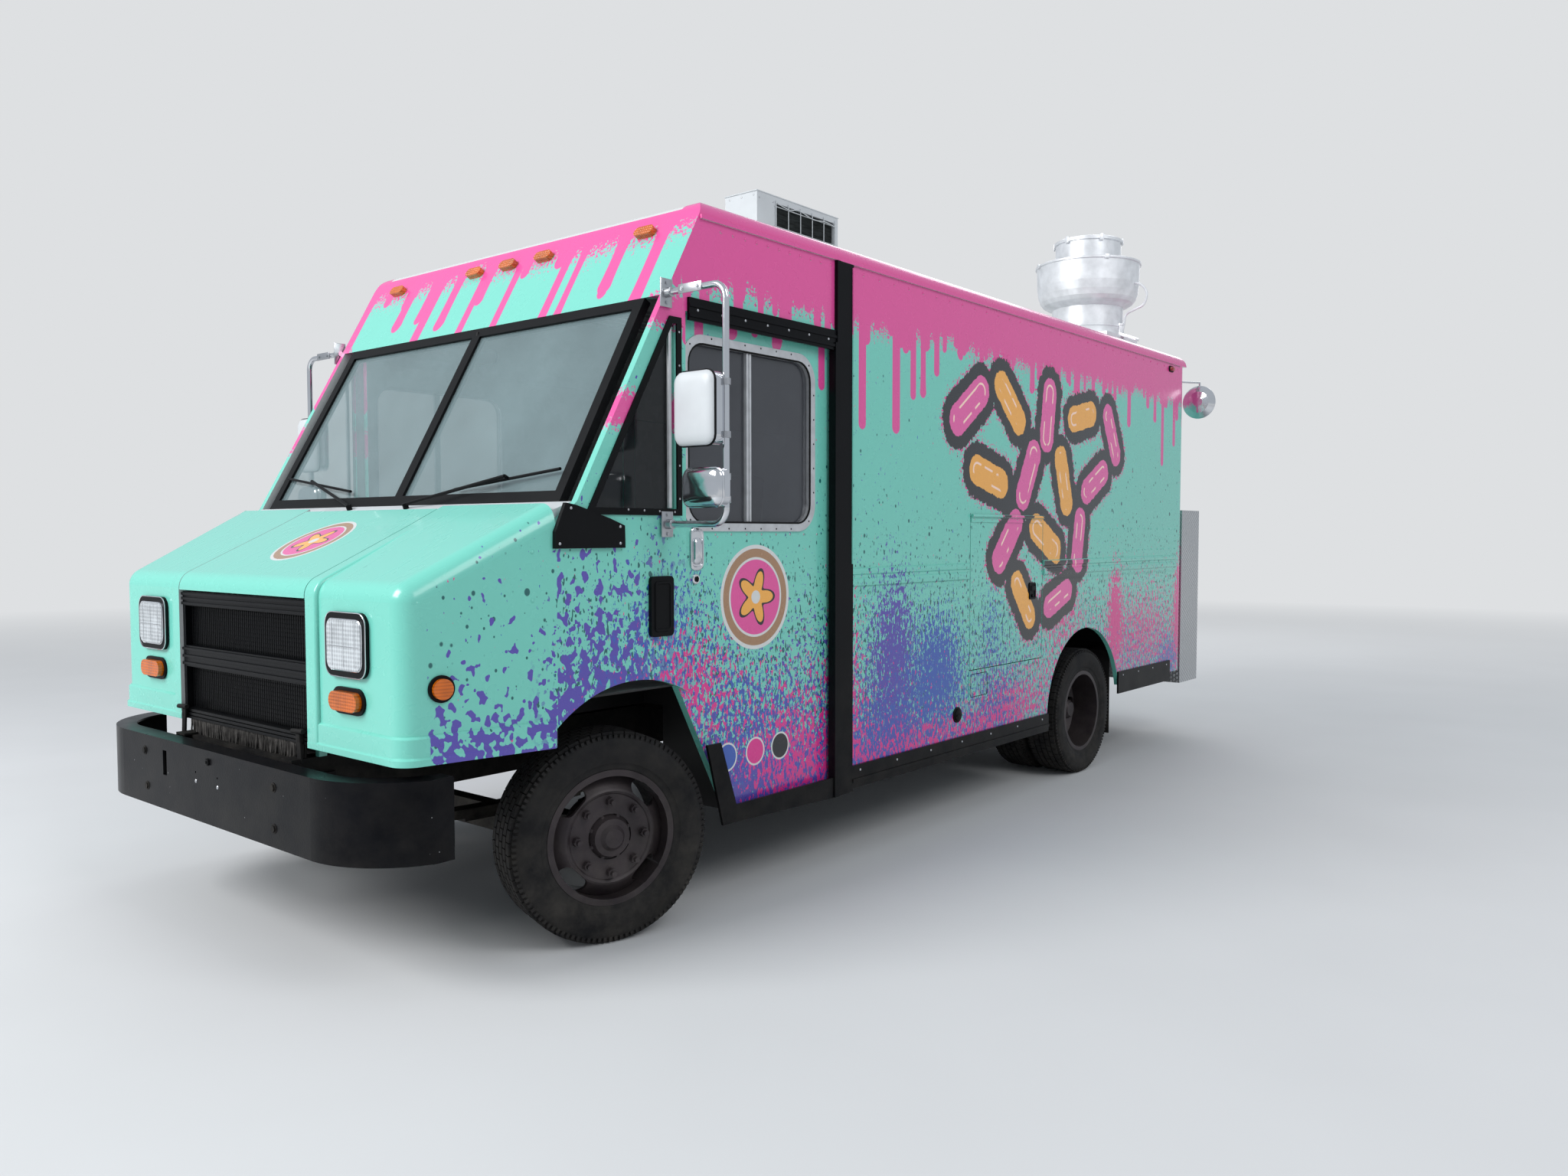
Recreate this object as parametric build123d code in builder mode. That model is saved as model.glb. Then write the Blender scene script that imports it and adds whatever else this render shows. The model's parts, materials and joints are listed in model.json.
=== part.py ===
"""A delivery step van fitted out as a food truck, as an assembly of named pieces.

Frame: millimetres, +X is the van's left side, -Y its front, +Z up.  The origin is on the ground under
the middle of the van.  The front wheels stand turned to the right, as the van was parked.
"""
import os
from math import atan2, cos, radians, sin, sqrt

from build123d import *

os.makedirs("parts", exist_ok=True)

# Driving sizes
WHEELBASE = 4000
REAR_AXLE_Y = 1490
HALF_WIDTH = 1180
WALL = 30
ROOF_Z = 2905
DRIP_Z = 2824
FLOOR_Z = 860
FLOOR_T = 50
WALL_IN = HALF_WIDTH - WALL
WELL_X = 760
OUTRIGGER_X = WALL_IN - 150
DRIVER_X = HALF_WIDTH - 530
REAR_DOOR_X = (280 - HALF_WIDTH, 980 - HALF_WIDTH)
CABINET_X = (120, HALF_WIDTH - 15)
SEAT_GAP = 0.3
RUN_GAP = 6

# Stations along the van, from the front axle
FRONT_AXLE_Y = REAR_AXLE_Y - WHEELBASE
BUMPER_Y = FRONT_AXLE_Y - 1080
NOSE_Y = FRONT_AXLE_Y - 950
CLIP_REAR_Y = FRONT_AXLE_Y - 380
GLASS_LOW_Y = FRONT_AXLE_Y - 279
GLASS_HIGH_Y = FRONT_AXLE_Y + 169
HEADER_Y = FRONT_AXLE_Y + 364
DOOR_FRONT_Y = FRONT_AXLE_Y + 280
DOOR_TOE_Y = FRONT_AXLE_Y + 554
DOOR_REAR_Y = FRONT_AXLE_Y + 1260
POST_REAR_Y = FRONT_AXLE_Y + 1395

# Stations along the van, from the rear axle
HATCH_Y = (REAR_AXLE_Y - 1490, REAR_AXLE_Y - 630)
SIDE_REAR_Y = REAR_AXLE_Y + 1594
BODY_REAR_Y = REAR_AXLE_Y + 1730
CABINET_REAR_Y = REAR_AXLE_Y + 2100

# Heights
GLASS_LOW_Z = 1681
GLASS_HIGH_Z = 2488
SILL_Z = 1605
DOOR_TOP_Z = 2440
DOOR_LOW_Z = 407
DOOR_BEND_Z = 950
SKIRT_Z = 400
TAIL_SKIRT_Z = 520
NOSE_TOP_Z = 1385
CLIP_LOW_Z = 805
CLIP_HIGH_Z = 1672

# Wheels: 225/70R19.5 on eight-stud discs
TIRE_R = 405.5
TIRE_W = 226
BEAD_R = 248
FLANGE_R = 260.5
DUAL_SPACING = 260
REAR_WHEEL_X = 1062
KINGPIN_X = 900
KINGPIN_OFFSET = 140
STEER = 18
FRONT_ARCH_R = 600
REAR_ARCH_R = 545
STUDS = 8
STUD_CIRCLE_R = 137.5

# Frame and running gear
RAIL_X = 430
RAIL_W = 76
RAIL_T = 8
RAIL_LOW_Z = 570
RAIL_HIGH_Z = 760
FRAME_FRONT_Y = BUMPER_Y + 90
SPRING_X = 470
SPRING_W = 76


def box(x, y, z, mode=Mode.ADD):
    """Add or cut a block that spans the given pairs of coordinates."""
    spans = [sorted(pair) for pair in (x, y, z)]
    middle = [(low + high) / 2 for low, high in spans]
    size = [high - low for low, high in spans]
    with Locations(tuple(middle)):
        Box(*size, mode=mode)


def side_prism(points, x, mode=Mode.ADD):
    """Extrude a side-view outline, given as (y, z), across the span x."""
    low, high = sorted(x)
    with BuildSketch(Plane.YZ.offset(low)) as outline:
        with BuildLine():
            Polyline(*points, close=True)
        make_face()
    extrude(outline.sketch, amount=high - low, mode=mode)


def rod(start, end, radius, mode=Mode.ADD):
    """Add or cut a round bar between two points."""
    start, end = Vector(*start), Vector(*end)
    with BuildSketch(Plane(origin=start, z_dir=end - start)) as ring:
        Circle(radius)
    extrude(ring.sketch, amount=(end - start).length, mode=mode)


def turned(profile, plane, mode=Mode.ADD):
    """Revolve a closed outline of (along, radius) points about the plane's own X axis."""
    with BuildSketch(plane) as outline:
        with BuildLine():
            Polyline(*profile, close=True)
        make_face()
    revolve(outline.sketch, axis=Axis(plane.origin, plane.x_dir), mode=mode)


def save(builder, label):
    """Label one finished piece and write its file."""
    builder.part.label = label
    export_step(builder.part, f"parts/{label}.step")


def axle_plane(centre, outboard):
    """A plane whose X axis points outboard along a wheel's axle, with Y up."""
    outboard = Vector(*outboard)
    return Plane(origin=centre, x_dir=outboard, z_dir=outboard.cross(Vector(0, 0, 1)))


def slope_y(z):
    """Where the raked windshield and header lie at height z."""
    share = (z - GLASS_LOW_Z) / (GLASS_HIGH_Z - GLASS_LOW_Z)
    return GLASS_LOW_Y + share * (GLASS_HIGH_Y - GLASS_LOW_Y)


def ridge(points, y, mode=Mode.ADD):
    """Extrude an end-view outline, given as (x, z), along the van over the span y."""
    front, back = sorted(y)
    with BuildSketch(Plane.XZ.offset(-front)) as outline:
        with BuildLine() as edge:
            Polyline(*points, close=True)
        make_face(edge.edges())
    extrude(outline.sketch, amount=front - back, mode=mode)


SIDES = ((1, "left"), (-1, "right"))

# Drive shaft, from the gearbox to the rear axle
AXLE_Z = TIRE_R
ENGINE_Y = (NOSE_Y + 220, FRONT_AXLE_Y + 60)
ENGINE_Z = (560, 1180)
GEARBOX_L = 600
SHAFT_R = 45
SHAFT_FRONT = (0, ENGINE_Y[1] + GEARBOX_L, ENGINE_Z[0] + 140)
DIFF_NOSE = 280
SHAFT_SLOPE = (SHAFT_FRONT[2] - AXLE_Z) / (REAR_AXLE_Y - DIFF_NOSE - SHAFT_FRONT[1])
SHAFT_REAR = (0, REAR_AXLE_Y - DIFF_NOSE - SHAFT_SLOPE * SHAFT_R - SEAT_GAP, AXLE_Z)

# Chassis: two channel rails and cross-members
MUDFLAP_X = (680, HALF_WIDTH - 40)
FLAP_Y = REAR_AXLE_Y + 478
RAIL_IN = RAIL_X - RAIL_W / 2
RAIL_OUTER = RAIL_X + RAIL_W / 2
INSIDE_X = RAIL_OUTER - RAIL_T
CROSS_HALF = 30
BEARER_HALF = 25
CROSS_Y = [FRAME_FRONT_Y + 60, FRONT_AXLE_Y + 700, REAR_AXLE_Y - 1300, REAR_AXLE_Y - 620,
           REAR_AXLE_Y + 620, BODY_REAR_Y - 60]
OUTRIGGERS = ((FRONT_AXLE_Y + 900, WELL_X), (REAR_AXLE_Y - 900, OUTRIGGER_X),
              (REAR_AXLE_Y + 900, OUTRIGGER_X))
with BuildPart() as chassis_frame:
    for side, tag in SIDES:
        rail_y = (FRAME_FRONT_Y, BODY_REAR_Y - WALL)
        box((side * RAIL_IN, side * RAIL_OUTER), rail_y, (RAIL_LOW_Z, RAIL_HIGH_Z))
        box((side * RAIL_IN, side * INSIDE_X), rail_y,
            (RAIL_LOW_Z + RAIL_T, RAIL_HIGH_Z - RAIL_T), Mode.SUBTRACT)
    for y in CROSS_Y:
        box((-INSIDE_X, INSIDE_X), (y - CROSS_HALF, y + CROSS_HALF),
            (RAIL_LOW_Z + 40, RAIL_HIGH_Z - RAIL_T))
    for y, reach in OUTRIGGERS:
        for side, tag in SIDES:
            box((side * RAIL_OUTER, side * reach), (y - BEARER_HALF, y + BEARER_HALF),
                (RAIL_HIGH_Z - 40, RAIL_HIGH_Z))
    for y, reach in ((FRONT_AXLE_Y + 700, WELL_X - 10), (REAR_AXLE_Y - 700, OUTRIGGER_X),
                     (REAR_AXLE_Y + 700, OUTRIGGER_X), (BODY_REAR_Y - 80, OUTRIGGER_X)):
        box((-reach, reach), (y - BEARER_HALF, y + BEARER_HALF), (RAIL_HIGH_Z, FLOOR_Z - FLOOR_T))
    for side, tag in SIDES:
        box((side * RAIL_OUTER, side * MUDFLAP_X[1]), (FLAP_Y, FLAP_Y + BEARER_HALF),
            (RAIL_HIGH_Z - 40, RAIL_HIGH_Z))
    rod(SHAFT_FRONT, SHAFT_REAR, SHAFT_R + 20, Mode.SUBTRACT)
save(chassis_frame, "chassis_frame")

# Bumper: a bent steel channel, swept back at both ends, on two brackets
BUMPER_LOW_Z = 475
BUMPER_HIGH_Z = 755
BUMPER_HALF = HALF_WIDTH - 65
BUMPER_BEND_X = 760
BUMPER_TIP_Y = BUMPER_Y + 240
BUMPER_DEPTH = 75
BUMPER_T = 8
PLATE_SPACING = 178
PLATE_HOLE_R = 4.5
PLATE_Z = 660
SLOT_X = (-378, -344)
SLOT_Z = (612, 710)


def bumper_outline(inset):
    """Plan of the bumper channel, moved back by inset from its front face."""
    front = BUMPER_Y + inset
    tip_y = BUMPER_TIP_Y + inset
    half = BUMPER_HALF - inset
    bend = BUMPER_BEND_X
    with BuildLine() as channel:
        Line((-bend, front), (bend, front))
        swept = TangentArc((bend, front), (half, tip_y), tangent=(1, 0))
        back = BUMPER_Y + BUMPER_DEPTH
        back_tip = BUMPER_TIP_Y + BUMPER_DEPTH
        inner = half - BUMPER_DEPTH
        Line(swept @ 1, (half, back_tip))
        Line((half, back_tip), (inner, back_tip))
        TangentArc((bend, back), (inner, back_tip), tangent=(1, 0))
        Line((bend, back), (-bend, back))
        TangentArc((-bend, back), (-inner, back_tip), tangent=(-1, 0))
        Line((-inner, back_tip), (-half, back_tip))
        Line((-half, back_tip), (-half, tip_y))
        TangentArc((-bend, front), (-half, tip_y), tangent=(-1, 0))
    make_face(channel.edges())


with BuildPart() as front_bumper:
    with BuildSketch(Plane.XY.offset(BUMPER_LOW_Z)) as outside:
        bumper_outline(0)
    extrude(outside.sketch, amount=BUMPER_HIGH_Z - BUMPER_LOW_Z)
    with BuildSketch(Plane.XY.offset(BUMPER_LOW_Z + BUMPER_T)) as hollow:
        bumper_outline(BUMPER_T)
    hollow_height = BUMPER_HIGH_Z - BUMPER_LOW_Z - 2 * BUMPER_T
    extrude(hollow.sketch, amount=hollow_height, mode=Mode.SUBTRACT)
    for side, tag in SIDES:
        box((side * RAIL_OUTER, side * (RAIL_OUTER + 12)), (BUMPER_Y + BUMPER_T, FRAME_FRONT_Y + 160),
            (RAIL_LOW_Z + 20, RAIL_HIGH_Z - 60))
    skin_y = (BUMPER_Y - 1, BUMPER_Y + BUMPER_T + 1)
    box(SLOT_X, skin_y, SLOT_Z, Mode.SUBTRACT)
    for x in (-PLATE_SPACING / 2, PLATE_SPACING / 2):
        rod((x, skin_y[0], PLATE_Z), (x, skin_y[1], PLATE_Z), PLATE_HOLE_R, Mode.SUBTRACT)
save(front_bumper, "front_bumper")

# Front axle: a dropped beam between the kingpin bosses, on leaf springs
BOSS_LOW_Z = AXLE_Z - 55
BOSS_HIGH_Z = AXLE_Z + 55
BOSS_R = 38
KINGPIN_R = 15
SPRING_HALF = 600
SPRING_T = 12
SPRING_CAMBER = 28
LEAVES = 4
LEAF_STEPS = 6
PAD_HALF = 60
HANGER_HALF = 25
BEAM_HALF = 35
BEAM_DROP_X = 640


def leaf_pack(axle_y, low_z, side):
    """Stack the leaves of one spring on its seat, with hangers up to the frame rail."""
    x = (side * (SPRING_X - SPRING_W / 2), side * (SPRING_X + SPRING_W / 2))
    station = SPRING_HALF / LEAF_STEPS
    for leaf in range(LEAVES):
        steps = LEAF_STEPS - LEAVES + 1 + leaf
        z = low_z + leaf * SPRING_T
        stations = [station * step for step in range(-steps, steps + 1)]
        lower = [(axle_y + along, z + SPRING_CAMBER * (along / SPRING_HALF) ** 2) for along in stations]
        upper = [(y, height + SPRING_T) for y, height in reversed(lower)]
        side_prism(lower + upper, x)
    top_z = low_z + LEAVES * SPRING_T
    box(x, (axle_y - PAD_HALF, axle_y + PAD_HALF), (low_z - SPRING_T, top_z + SPRING_T))
    for end in (-1, 1):
        y = axle_y + end * (SPRING_HALF - 30)
        box(x, (y - HANGER_HALF, y + HANGER_HALF), (top_z, RAIL_LOW_Z))


with BuildPart() as front_axle:
    beam_y = (FRONT_AXLE_Y - BEAM_HALF, FRONT_AXLE_Y + BEAM_HALF)
    box((-KINGPIN_X, KINGPIN_X), beam_y, (AXLE_Z - 50, AXLE_Z + 30))
    box((-BEAM_DROP_X, BEAM_DROP_X), beam_y, (AXLE_Z, AXLE_Z + 31), Mode.SUBTRACT)
    box((-BEAM_DROP_X, BEAM_DROP_X), beam_y, (AXLE_Z - 110, AXLE_Z - 49))
    for side, tag in SIDES:
        with Locations((side * KINGPIN_X, FRONT_AXLE_Y, AXLE_Z)):
            Cylinder(BOSS_R, BOSS_HIGH_Z - BOSS_LOW_Z)
        with Locations((side * KINGPIN_X, FRONT_AXLE_Y, AXLE_Z)):
            Cylinder(KINGPIN_R + SEAT_GAP, BOSS_HIGH_Z - BOSS_LOW_Z + 2, mode=Mode.SUBTRACT)
        leaf_pack(FRONT_AXLE_Y, AXLE_Z, side)
save(front_axle, "front_axle")

# Rear axle: tube, differential, springs and spindles
DIFF_R = 170
TUBE_R = 55
SPINDLE_R = 30
REAR_HUB_IN_X = 715
REAR_SEAT = 80
with BuildPart() as rear_axle:
    rod((-REAR_WHEEL_X, REAR_AXLE_Y, AXLE_Z), (REAR_WHEEL_X, REAR_AXLE_Y, AXLE_Z), SPINDLE_R)
    rod((-REAR_HUB_IN_X, REAR_AXLE_Y, AXLE_Z), (REAR_HUB_IN_X, REAR_AXLE_Y, AXLE_Z), TUBE_R)
    turned([(-75, 0), (-75, 120), (-40, DIFF_R), (70, DIFF_R), (115, 105), (DIFF_NOSE, 60), (DIFF_NOSE, 0)],
           axle_plane((0, REAR_AXLE_Y, AXLE_Z), (0, -1, 0)))
    for side, tag in SIDES:
        leaf_pack(REAR_AXLE_Y, AXLE_Z + REAR_SEAT, side)
        box((side * (SPRING_X - 50), side * (SPRING_X + 50)),
            (REAR_AXLE_Y - PAD_HALF, REAR_AXLE_Y + PAD_HALF), (AXLE_Z + 15, AXLE_Z + REAR_SEAT))
save(rear_axle, "rear_axle")

# Engine with its gearbox, and the shaft to the rear axle
with BuildPart() as engine:
    box((-290, 290), ENGINE_Y, ENGINE_Z)
    box((-170, 170), (ENGINE_Y[1], ENGINE_Y[1] + GEARBOX_L), (ENGINE_Z[0] + 40, ENGINE_Z[0] + 240))
    rod(SHAFT_FRONT, SHAFT_REAR, SHAFT_R)
    box((-INSIDE_X, INSIDE_X), (FRONT_AXLE_Y - 450, FRONT_AXLE_Y - 390),
        (ENGINE_Z[0] + 40, ENGINE_Z[0] + 100))
save(engine, "engine")

# Radiator between the frame rails, behind the grille
RADIATOR_Y = (NOSE_Y + 95, NOSE_Y + 155)
with BuildPart() as radiator:
    box((-430, 430), RADIATOR_Y, (RAIL_HIGH_Z + 1, 1320))
    box((-400, 400), (RADIATOR_Y[0] - 1, RADIATOR_Y[0] + 10), (RAIL_HIGH_Z + 60, 1260), Mode.SUBTRACT)
    for side, tag in SIDES:
        box((side * (RAIL_X - 30), side * (RAIL_X + 30)), RADIATOR_Y, (RAIL_HIGH_Z, RAIL_HIGH_Z + 1))
save(radiator, "radiator")

# Front clip: hollow fenders and face, open below, behind, at the grille and under the hood
GRILLE_HALF = 507
GRILLE_HIGH_Z = 1330
HOOD_HALF = 500
CLIP_T = 10
CLIP_NOSE_HALF = 1085
CORNER_R = 75
HOOD_GAP = 6
LAMP_RECESS = 14
PANEL_Y = NOSE_Y + LAMP_RECESS
PILLAR_HALF = 575
CENTRE_FADE = 420
BAND_Z = (834, 902)
BAND_OUT = 9
LIP_OUT = 15
CLIP_SLOPE = (CLIP_HIGH_Z - NOSE_TOP_Z) / (CLIP_REAR_Y - PANEL_Y)


def clip_plan(z, outset):
    """Plan of the clip at height z, moved outward by outset, as a sketch."""
    front = PANEL_Y - outset
    with BuildSketch(Plane.XY.offset(z)) as plan:
        with BuildLine() as edge:
            nose = CLIP_NOSE_HALF + outset
            wide = HALF_WIDTH + outset
            rear = CLIP_REAR_Y - outset
            Polyline((-nose, front), (nose, front), (wide, rear), (-wide, rear), close=True)
        make_face(edge.edges())
    return plan.sketch


def clip_form(builder, inset):
    """Fenders, lamp panel and hood as one solid form, moved in by inset and open-ended when inset."""
    nose = PANEL_Y + inset
    rear = CLIP_REAR_Y + inset
    drop = inset * sqrt(1 + CLIP_SLOPE ** 2)
    low = CLIP_LOW_Z - inset
    side_prism([(nose, low), (nose, NOSE_TOP_Z + inset * CLIP_SLOPE - drop),
                (rear, CLIP_HIGH_Z + inset * CLIP_SLOPE - drop), (rear, low)], (-HALF_WIDTH, HALF_WIDTH))
    extrude(clip_plan(low, -inset), amount=CLIP_HIGH_Z, mode=Mode.INTERSECT)
    rounded = [edge for edge in builder.edges() if edge.center().Y < rear - 5 and edge.center().Z > low + 5]
    fillet(rounded, CORNER_R - inset)


def clip_band(builder, z, outset):
    """A band around the foot of the clip that stands out by outset, with its top edge chamfered."""
    extrude(clip_plan(z[0], outset), amount=z[1] - z[0])
    fillet(builder.edges().filter_by(Axis.Z).group_by(Axis.Y)[0], CORNER_R)
    chamfer(builder.edges().group_by(Axis.Z)[-1], min(outset - 1, 8))


with BuildPart() as clip_centre:
    side_prism([(NOSE_Y, CLIP_LOW_Z), (NOSE_Y, NOSE_TOP_Z + 4),
                (NOSE_Y + CENTRE_FADE, NOSE_TOP_Z + (CENTRE_FADE - LAMP_RECESS) * CLIP_SLOPE),
                (NOSE_Y + CENTRE_FADE, CLIP_LOW_Z)], (-PILLAR_HALF, PILLAR_HALF))
    brow = clip_centre.edges().filter_by(Axis.X).group_by(Axis.Z)[-2]
    fillet(brow, CORNER_R)
    flanks = [edge for edge in clip_centre.edges() if abs(edge.center().X) > PILLAR_HALF - 1
              and edge.center().Y < NOSE_Y + CENTRE_FADE - 5 and edge.center().Z > CLIP_LOW_Z + 5]
    fillet(flanks, LAMP_RECESS - 1)
with BuildPart() as band:
    clip_band(band, (CLIP_LOW_Z, BAND_Z[1]), BAND_OUT)
with BuildPart() as lip:
    clip_band(lip, (CLIP_LOW_Z, BAND_Z[0]), LIP_OUT)
with BuildPart() as clip_outer:
    clip_form(clip_outer, 0)
    add(clip_centre.part)
    add(band.part)
    add(lip.part)
with BuildPart() as clip_inner:
    clip_form(clip_inner, CLIP_T)

HOOD_FRONT_Z = GRILLE_HIGH_Z + HOOD_GAP
CLIP_FRAME_Y = (NOSE_Y + 60, NOSE_Y + 90)
with BuildPart() as front_clip:
    add(clip_outer.part)
    add(clip_inner.part, mode=Mode.SUBTRACT)
    box((-GRILLE_HALF, GRILLE_HALF), (NOSE_Y - 50, CLIP_FRAME_Y[0]), (CLIP_LOW_Z - 50, GRILLE_HIGH_Z),
        Mode.SUBTRACT)
    box((-HOOD_HALF - HOOD_GAP, HOOD_HALF + HOOD_GAP), (NOSE_Y - 50, CLIP_REAR_Y + 50),
        (GRILLE_HIGH_Z, CLIP_HIGH_Z + 50), Mode.SUBTRACT)
    for side, tag in SIDES:
        box((side * GRILLE_HALF, side * (GRILLE_HALF + CLIP_T)), (PANEL_Y + CLIP_T, CLIP_FRAME_Y[1]),
            (CLIP_LOW_Z, GRILLE_HIGH_Z))
        for z in (880, 1300):
            box((side * (RAIL_X + 45), side * (GRILLE_HALF + 1)), CLIP_FRAME_Y, (z - 20, z + 20))
        box((side * (RAIL_X + 20), side * (RAIL_X + 45)), CLIP_FRAME_Y, (RAIL_HIGH_Z, GRILLE_HIGH_Z - 10))
    box((-RAIL_X - 45, RAIL_X + 45), CLIP_FRAME_Y, (GRILLE_HIGH_Z - 34, GRILLE_HIGH_Z - 4))
save(front_clip, "front_clip")

# Hood: a raised lid over the engine, hinged at the cowl
HOOD_REAR_Y = CLIP_REAR_Y - 22
HOOD_PIN_R = 8
HOOD_PIN_X = 380
HOOD_PIN_Y = CLIP_REAR_Y - HOOD_PIN_R - SEAT_GAP
HOOD_PIN_Z = CLIP_HIGH_Z - 42
with BuildPart() as hood:
    add(clip_outer.part)
    add(clip_inner.part, mode=Mode.SUBTRACT)
    box((-HOOD_HALF, HOOD_HALF), (NOSE_Y - 50, HOOD_REAR_Y), (HOOD_FRONT_Z, CLIP_HIGH_Z + 50),
        Mode.INTERSECT)
    for x in (-HOOD_PIN_X, HOOD_PIN_X):
        rod((x - 40, HOOD_PIN_Y, HOOD_PIN_Z), (x + 40, HOOD_PIN_Y, HOOD_PIN_Z), HOOD_PIN_R)
        box((x - 15, x + 15), (HOOD_REAR_Y - 40, HOOD_PIN_Y), (HOOD_PIN_Z - 4, HOOD_PIN_Z + 4))
save(hood, "hood")

# Grille: a black frame with ribbed bars across and a wire screen behind
GRILLE_FACE_Y = (NOSE_Y + 15, NOSE_Y + 45)
GRILLE_BARS = ((1272, GRILLE_HIGH_Z - 2), (1023, 1108), (CLIP_LOW_Z + 5, 852))
BAR_RIB = 7
RIB_HALF = 5
SCREEN_T = 4
GRILLE_POST = 22
with BuildPart() as grille:
    half = GRILLE_HALF - SEAT_GAP
    for low_z, high_z in GRILLE_BARS:
        box((-half, half), GRILLE_FACE_Y, (low_z, high_z))
        for share in (0.15, 0.5, 0.85):
            rib_z = low_z + share * (high_z - low_z)
            box((-half, half), (GRILLE_FACE_Y[0] - BAR_RIB, GRILLE_FACE_Y[0]),
                (rib_z - RIB_HALF, rib_z + RIB_HALF))
    grille_z = (GRILLE_BARS[-1][0], GRILLE_BARS[0][1])
    for side, tag in SIDES:
        box((side * (half - GRILLE_POST), side * half), GRILLE_FACE_Y, grille_z)
    box((-half, half), (GRILLE_FACE_Y[1], GRILLE_FACE_Y[1] + SCREEN_T), grille_z)
save(grille, "grille")

# Lamps on the face and fenders, each on a black bezel or gasket
LAMP_X = 770
HEADLIGHT_Z = 1188
HEADLIGHT = (213, 169, 30)
BEZEL = (256, 222, 45)
TURN_Z = 996
TURN = (176, 66, 0)
TURN_GASKET = (206, 92, 0)
MARKER_R = 35
MARKER_Z = 1052
MARKER_Y = NOSE_Y + 145


def clip_side_x(y):
    """Half width of the fenders' outer face at station y."""
    share = (y - PANEL_Y) / (CLIP_REAR_Y - PANEL_Y)
    return CLIP_NOSE_HALF + share * (HALF_WIDTH - CLIP_NOSE_HALF)


FENDER_ANGLE = atan2(HALF_WIDTH - CLIP_NOSE_HALF, CLIP_REAR_Y - PANEL_Y)


def fender_marker(near, far, radius, mode=Mode.ADD):
    """A disc on each fender's side, between two distances out from its face."""
    for side, tag in SIDES:
        out = Vector(side * cos(FENDER_ANGLE), -sin(FENDER_ANGLE), 0)
        foot = Vector(side * clip_side_x(MARKER_Y), MARKER_Y, MARKER_Z)
        rod(tuple(foot + out * near), tuple(foot + out * far), radius, mode)


def face_lamps(form, z, near, far, mode=Mode.ADD):
    """A pair of lamps of (width, height, corner) on the face, a corner of 0 giving round ends."""
    width, height, radius = form
    with BuildSketch(Plane.XZ.offset(-PANEL_Y + near)) as lamp:
        with Locations((LAMP_X, z), (-LAMP_X, z)):
            if radius:
                RectangleRounded(width, height, radius)
            else:
                SlotOverall(width, height)
    extrude(lamp.sketch, amount=far - near, mode=mode)


BEZEL_OUT = 16
BEZEL_FLOOR = 4
GASKET_OUT = 8
with BuildPart() as lamp_bezels:
    face_lamps(BEZEL, HEADLIGHT_Z, 0, BEZEL_OUT)
    face_lamps((HEADLIGHT[0] + 1, HEADLIGHT[1] + 1, HEADLIGHT[2]), HEADLIGHT_Z, BEZEL_FLOOR, BEZEL_OUT,
               Mode.SUBTRACT)
    face_lamps(TURN_GASKET, TURN_Z, 0, GASKET_OUT)
    fender_marker(0, GASKET_OUT, MARKER_R + 11)
save(lamp_bezels, "lamp_bezels")

with BuildPart() as headlights:
    face_lamps(HEADLIGHT, HEADLIGHT_Z, BEZEL_FLOOR, BEZEL_OUT + 6)
save(headlights, "headlights")

# Amber lamps: turn signals and fender markers
MARKER_X = (-905, -256, 0, 256, 905)
with BuildPart() as amber_lamps:
    face_lamps(TURN, TURN_Z, GASKET_OUT, GASKET_OUT + 22)
    fender_marker(GASKET_OUT, GASKET_OUT + 14, MARKER_R)
save(amber_lamps, "amber_lamps")

# Windshield frame, raked, with a centre bar, and its two panes
RAKE = Vector(0, GLASS_HIGH_Y - GLASS_LOW_Y, GLASS_HIGH_Z - GLASS_LOW_Z)
GLASS_NORMAL = Vector(0, -RAKE.Z, RAKE.Y).normalized()
GLASS_PLANE = Plane(origin=(0, GLASS_LOW_Y, GLASS_LOW_Z), x_dir=(1, 0, 0), z_dir=GLASS_NORMAL)
GLASS_TALL = RAKE.length
FRAME_T = 35
FRAME_W = 48
BAR_W = 56
PANE_T = 6
GLASS_HALF_LOW = HALF_WIDTH - 100
GLASS_HALF_HIGH = HALF_WIDTH - 112


def pane_outline(edge, side):
    """One windshield pane in the glass plane, set in from the frame's outside by edge."""
    lower = GLASS_HALF_LOW - edge
    upper = GLASS_HALF_HIGH - edge
    with BuildLine() as pane_edge:
        Polyline((side * BAR_W / 2, edge), (side * lower, edge), (side * upper, GLASS_TALL - edge),
                 (side * BAR_W / 2, GLASS_TALL - edge), close=True)
    make_face(pane_edge.edges())


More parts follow.
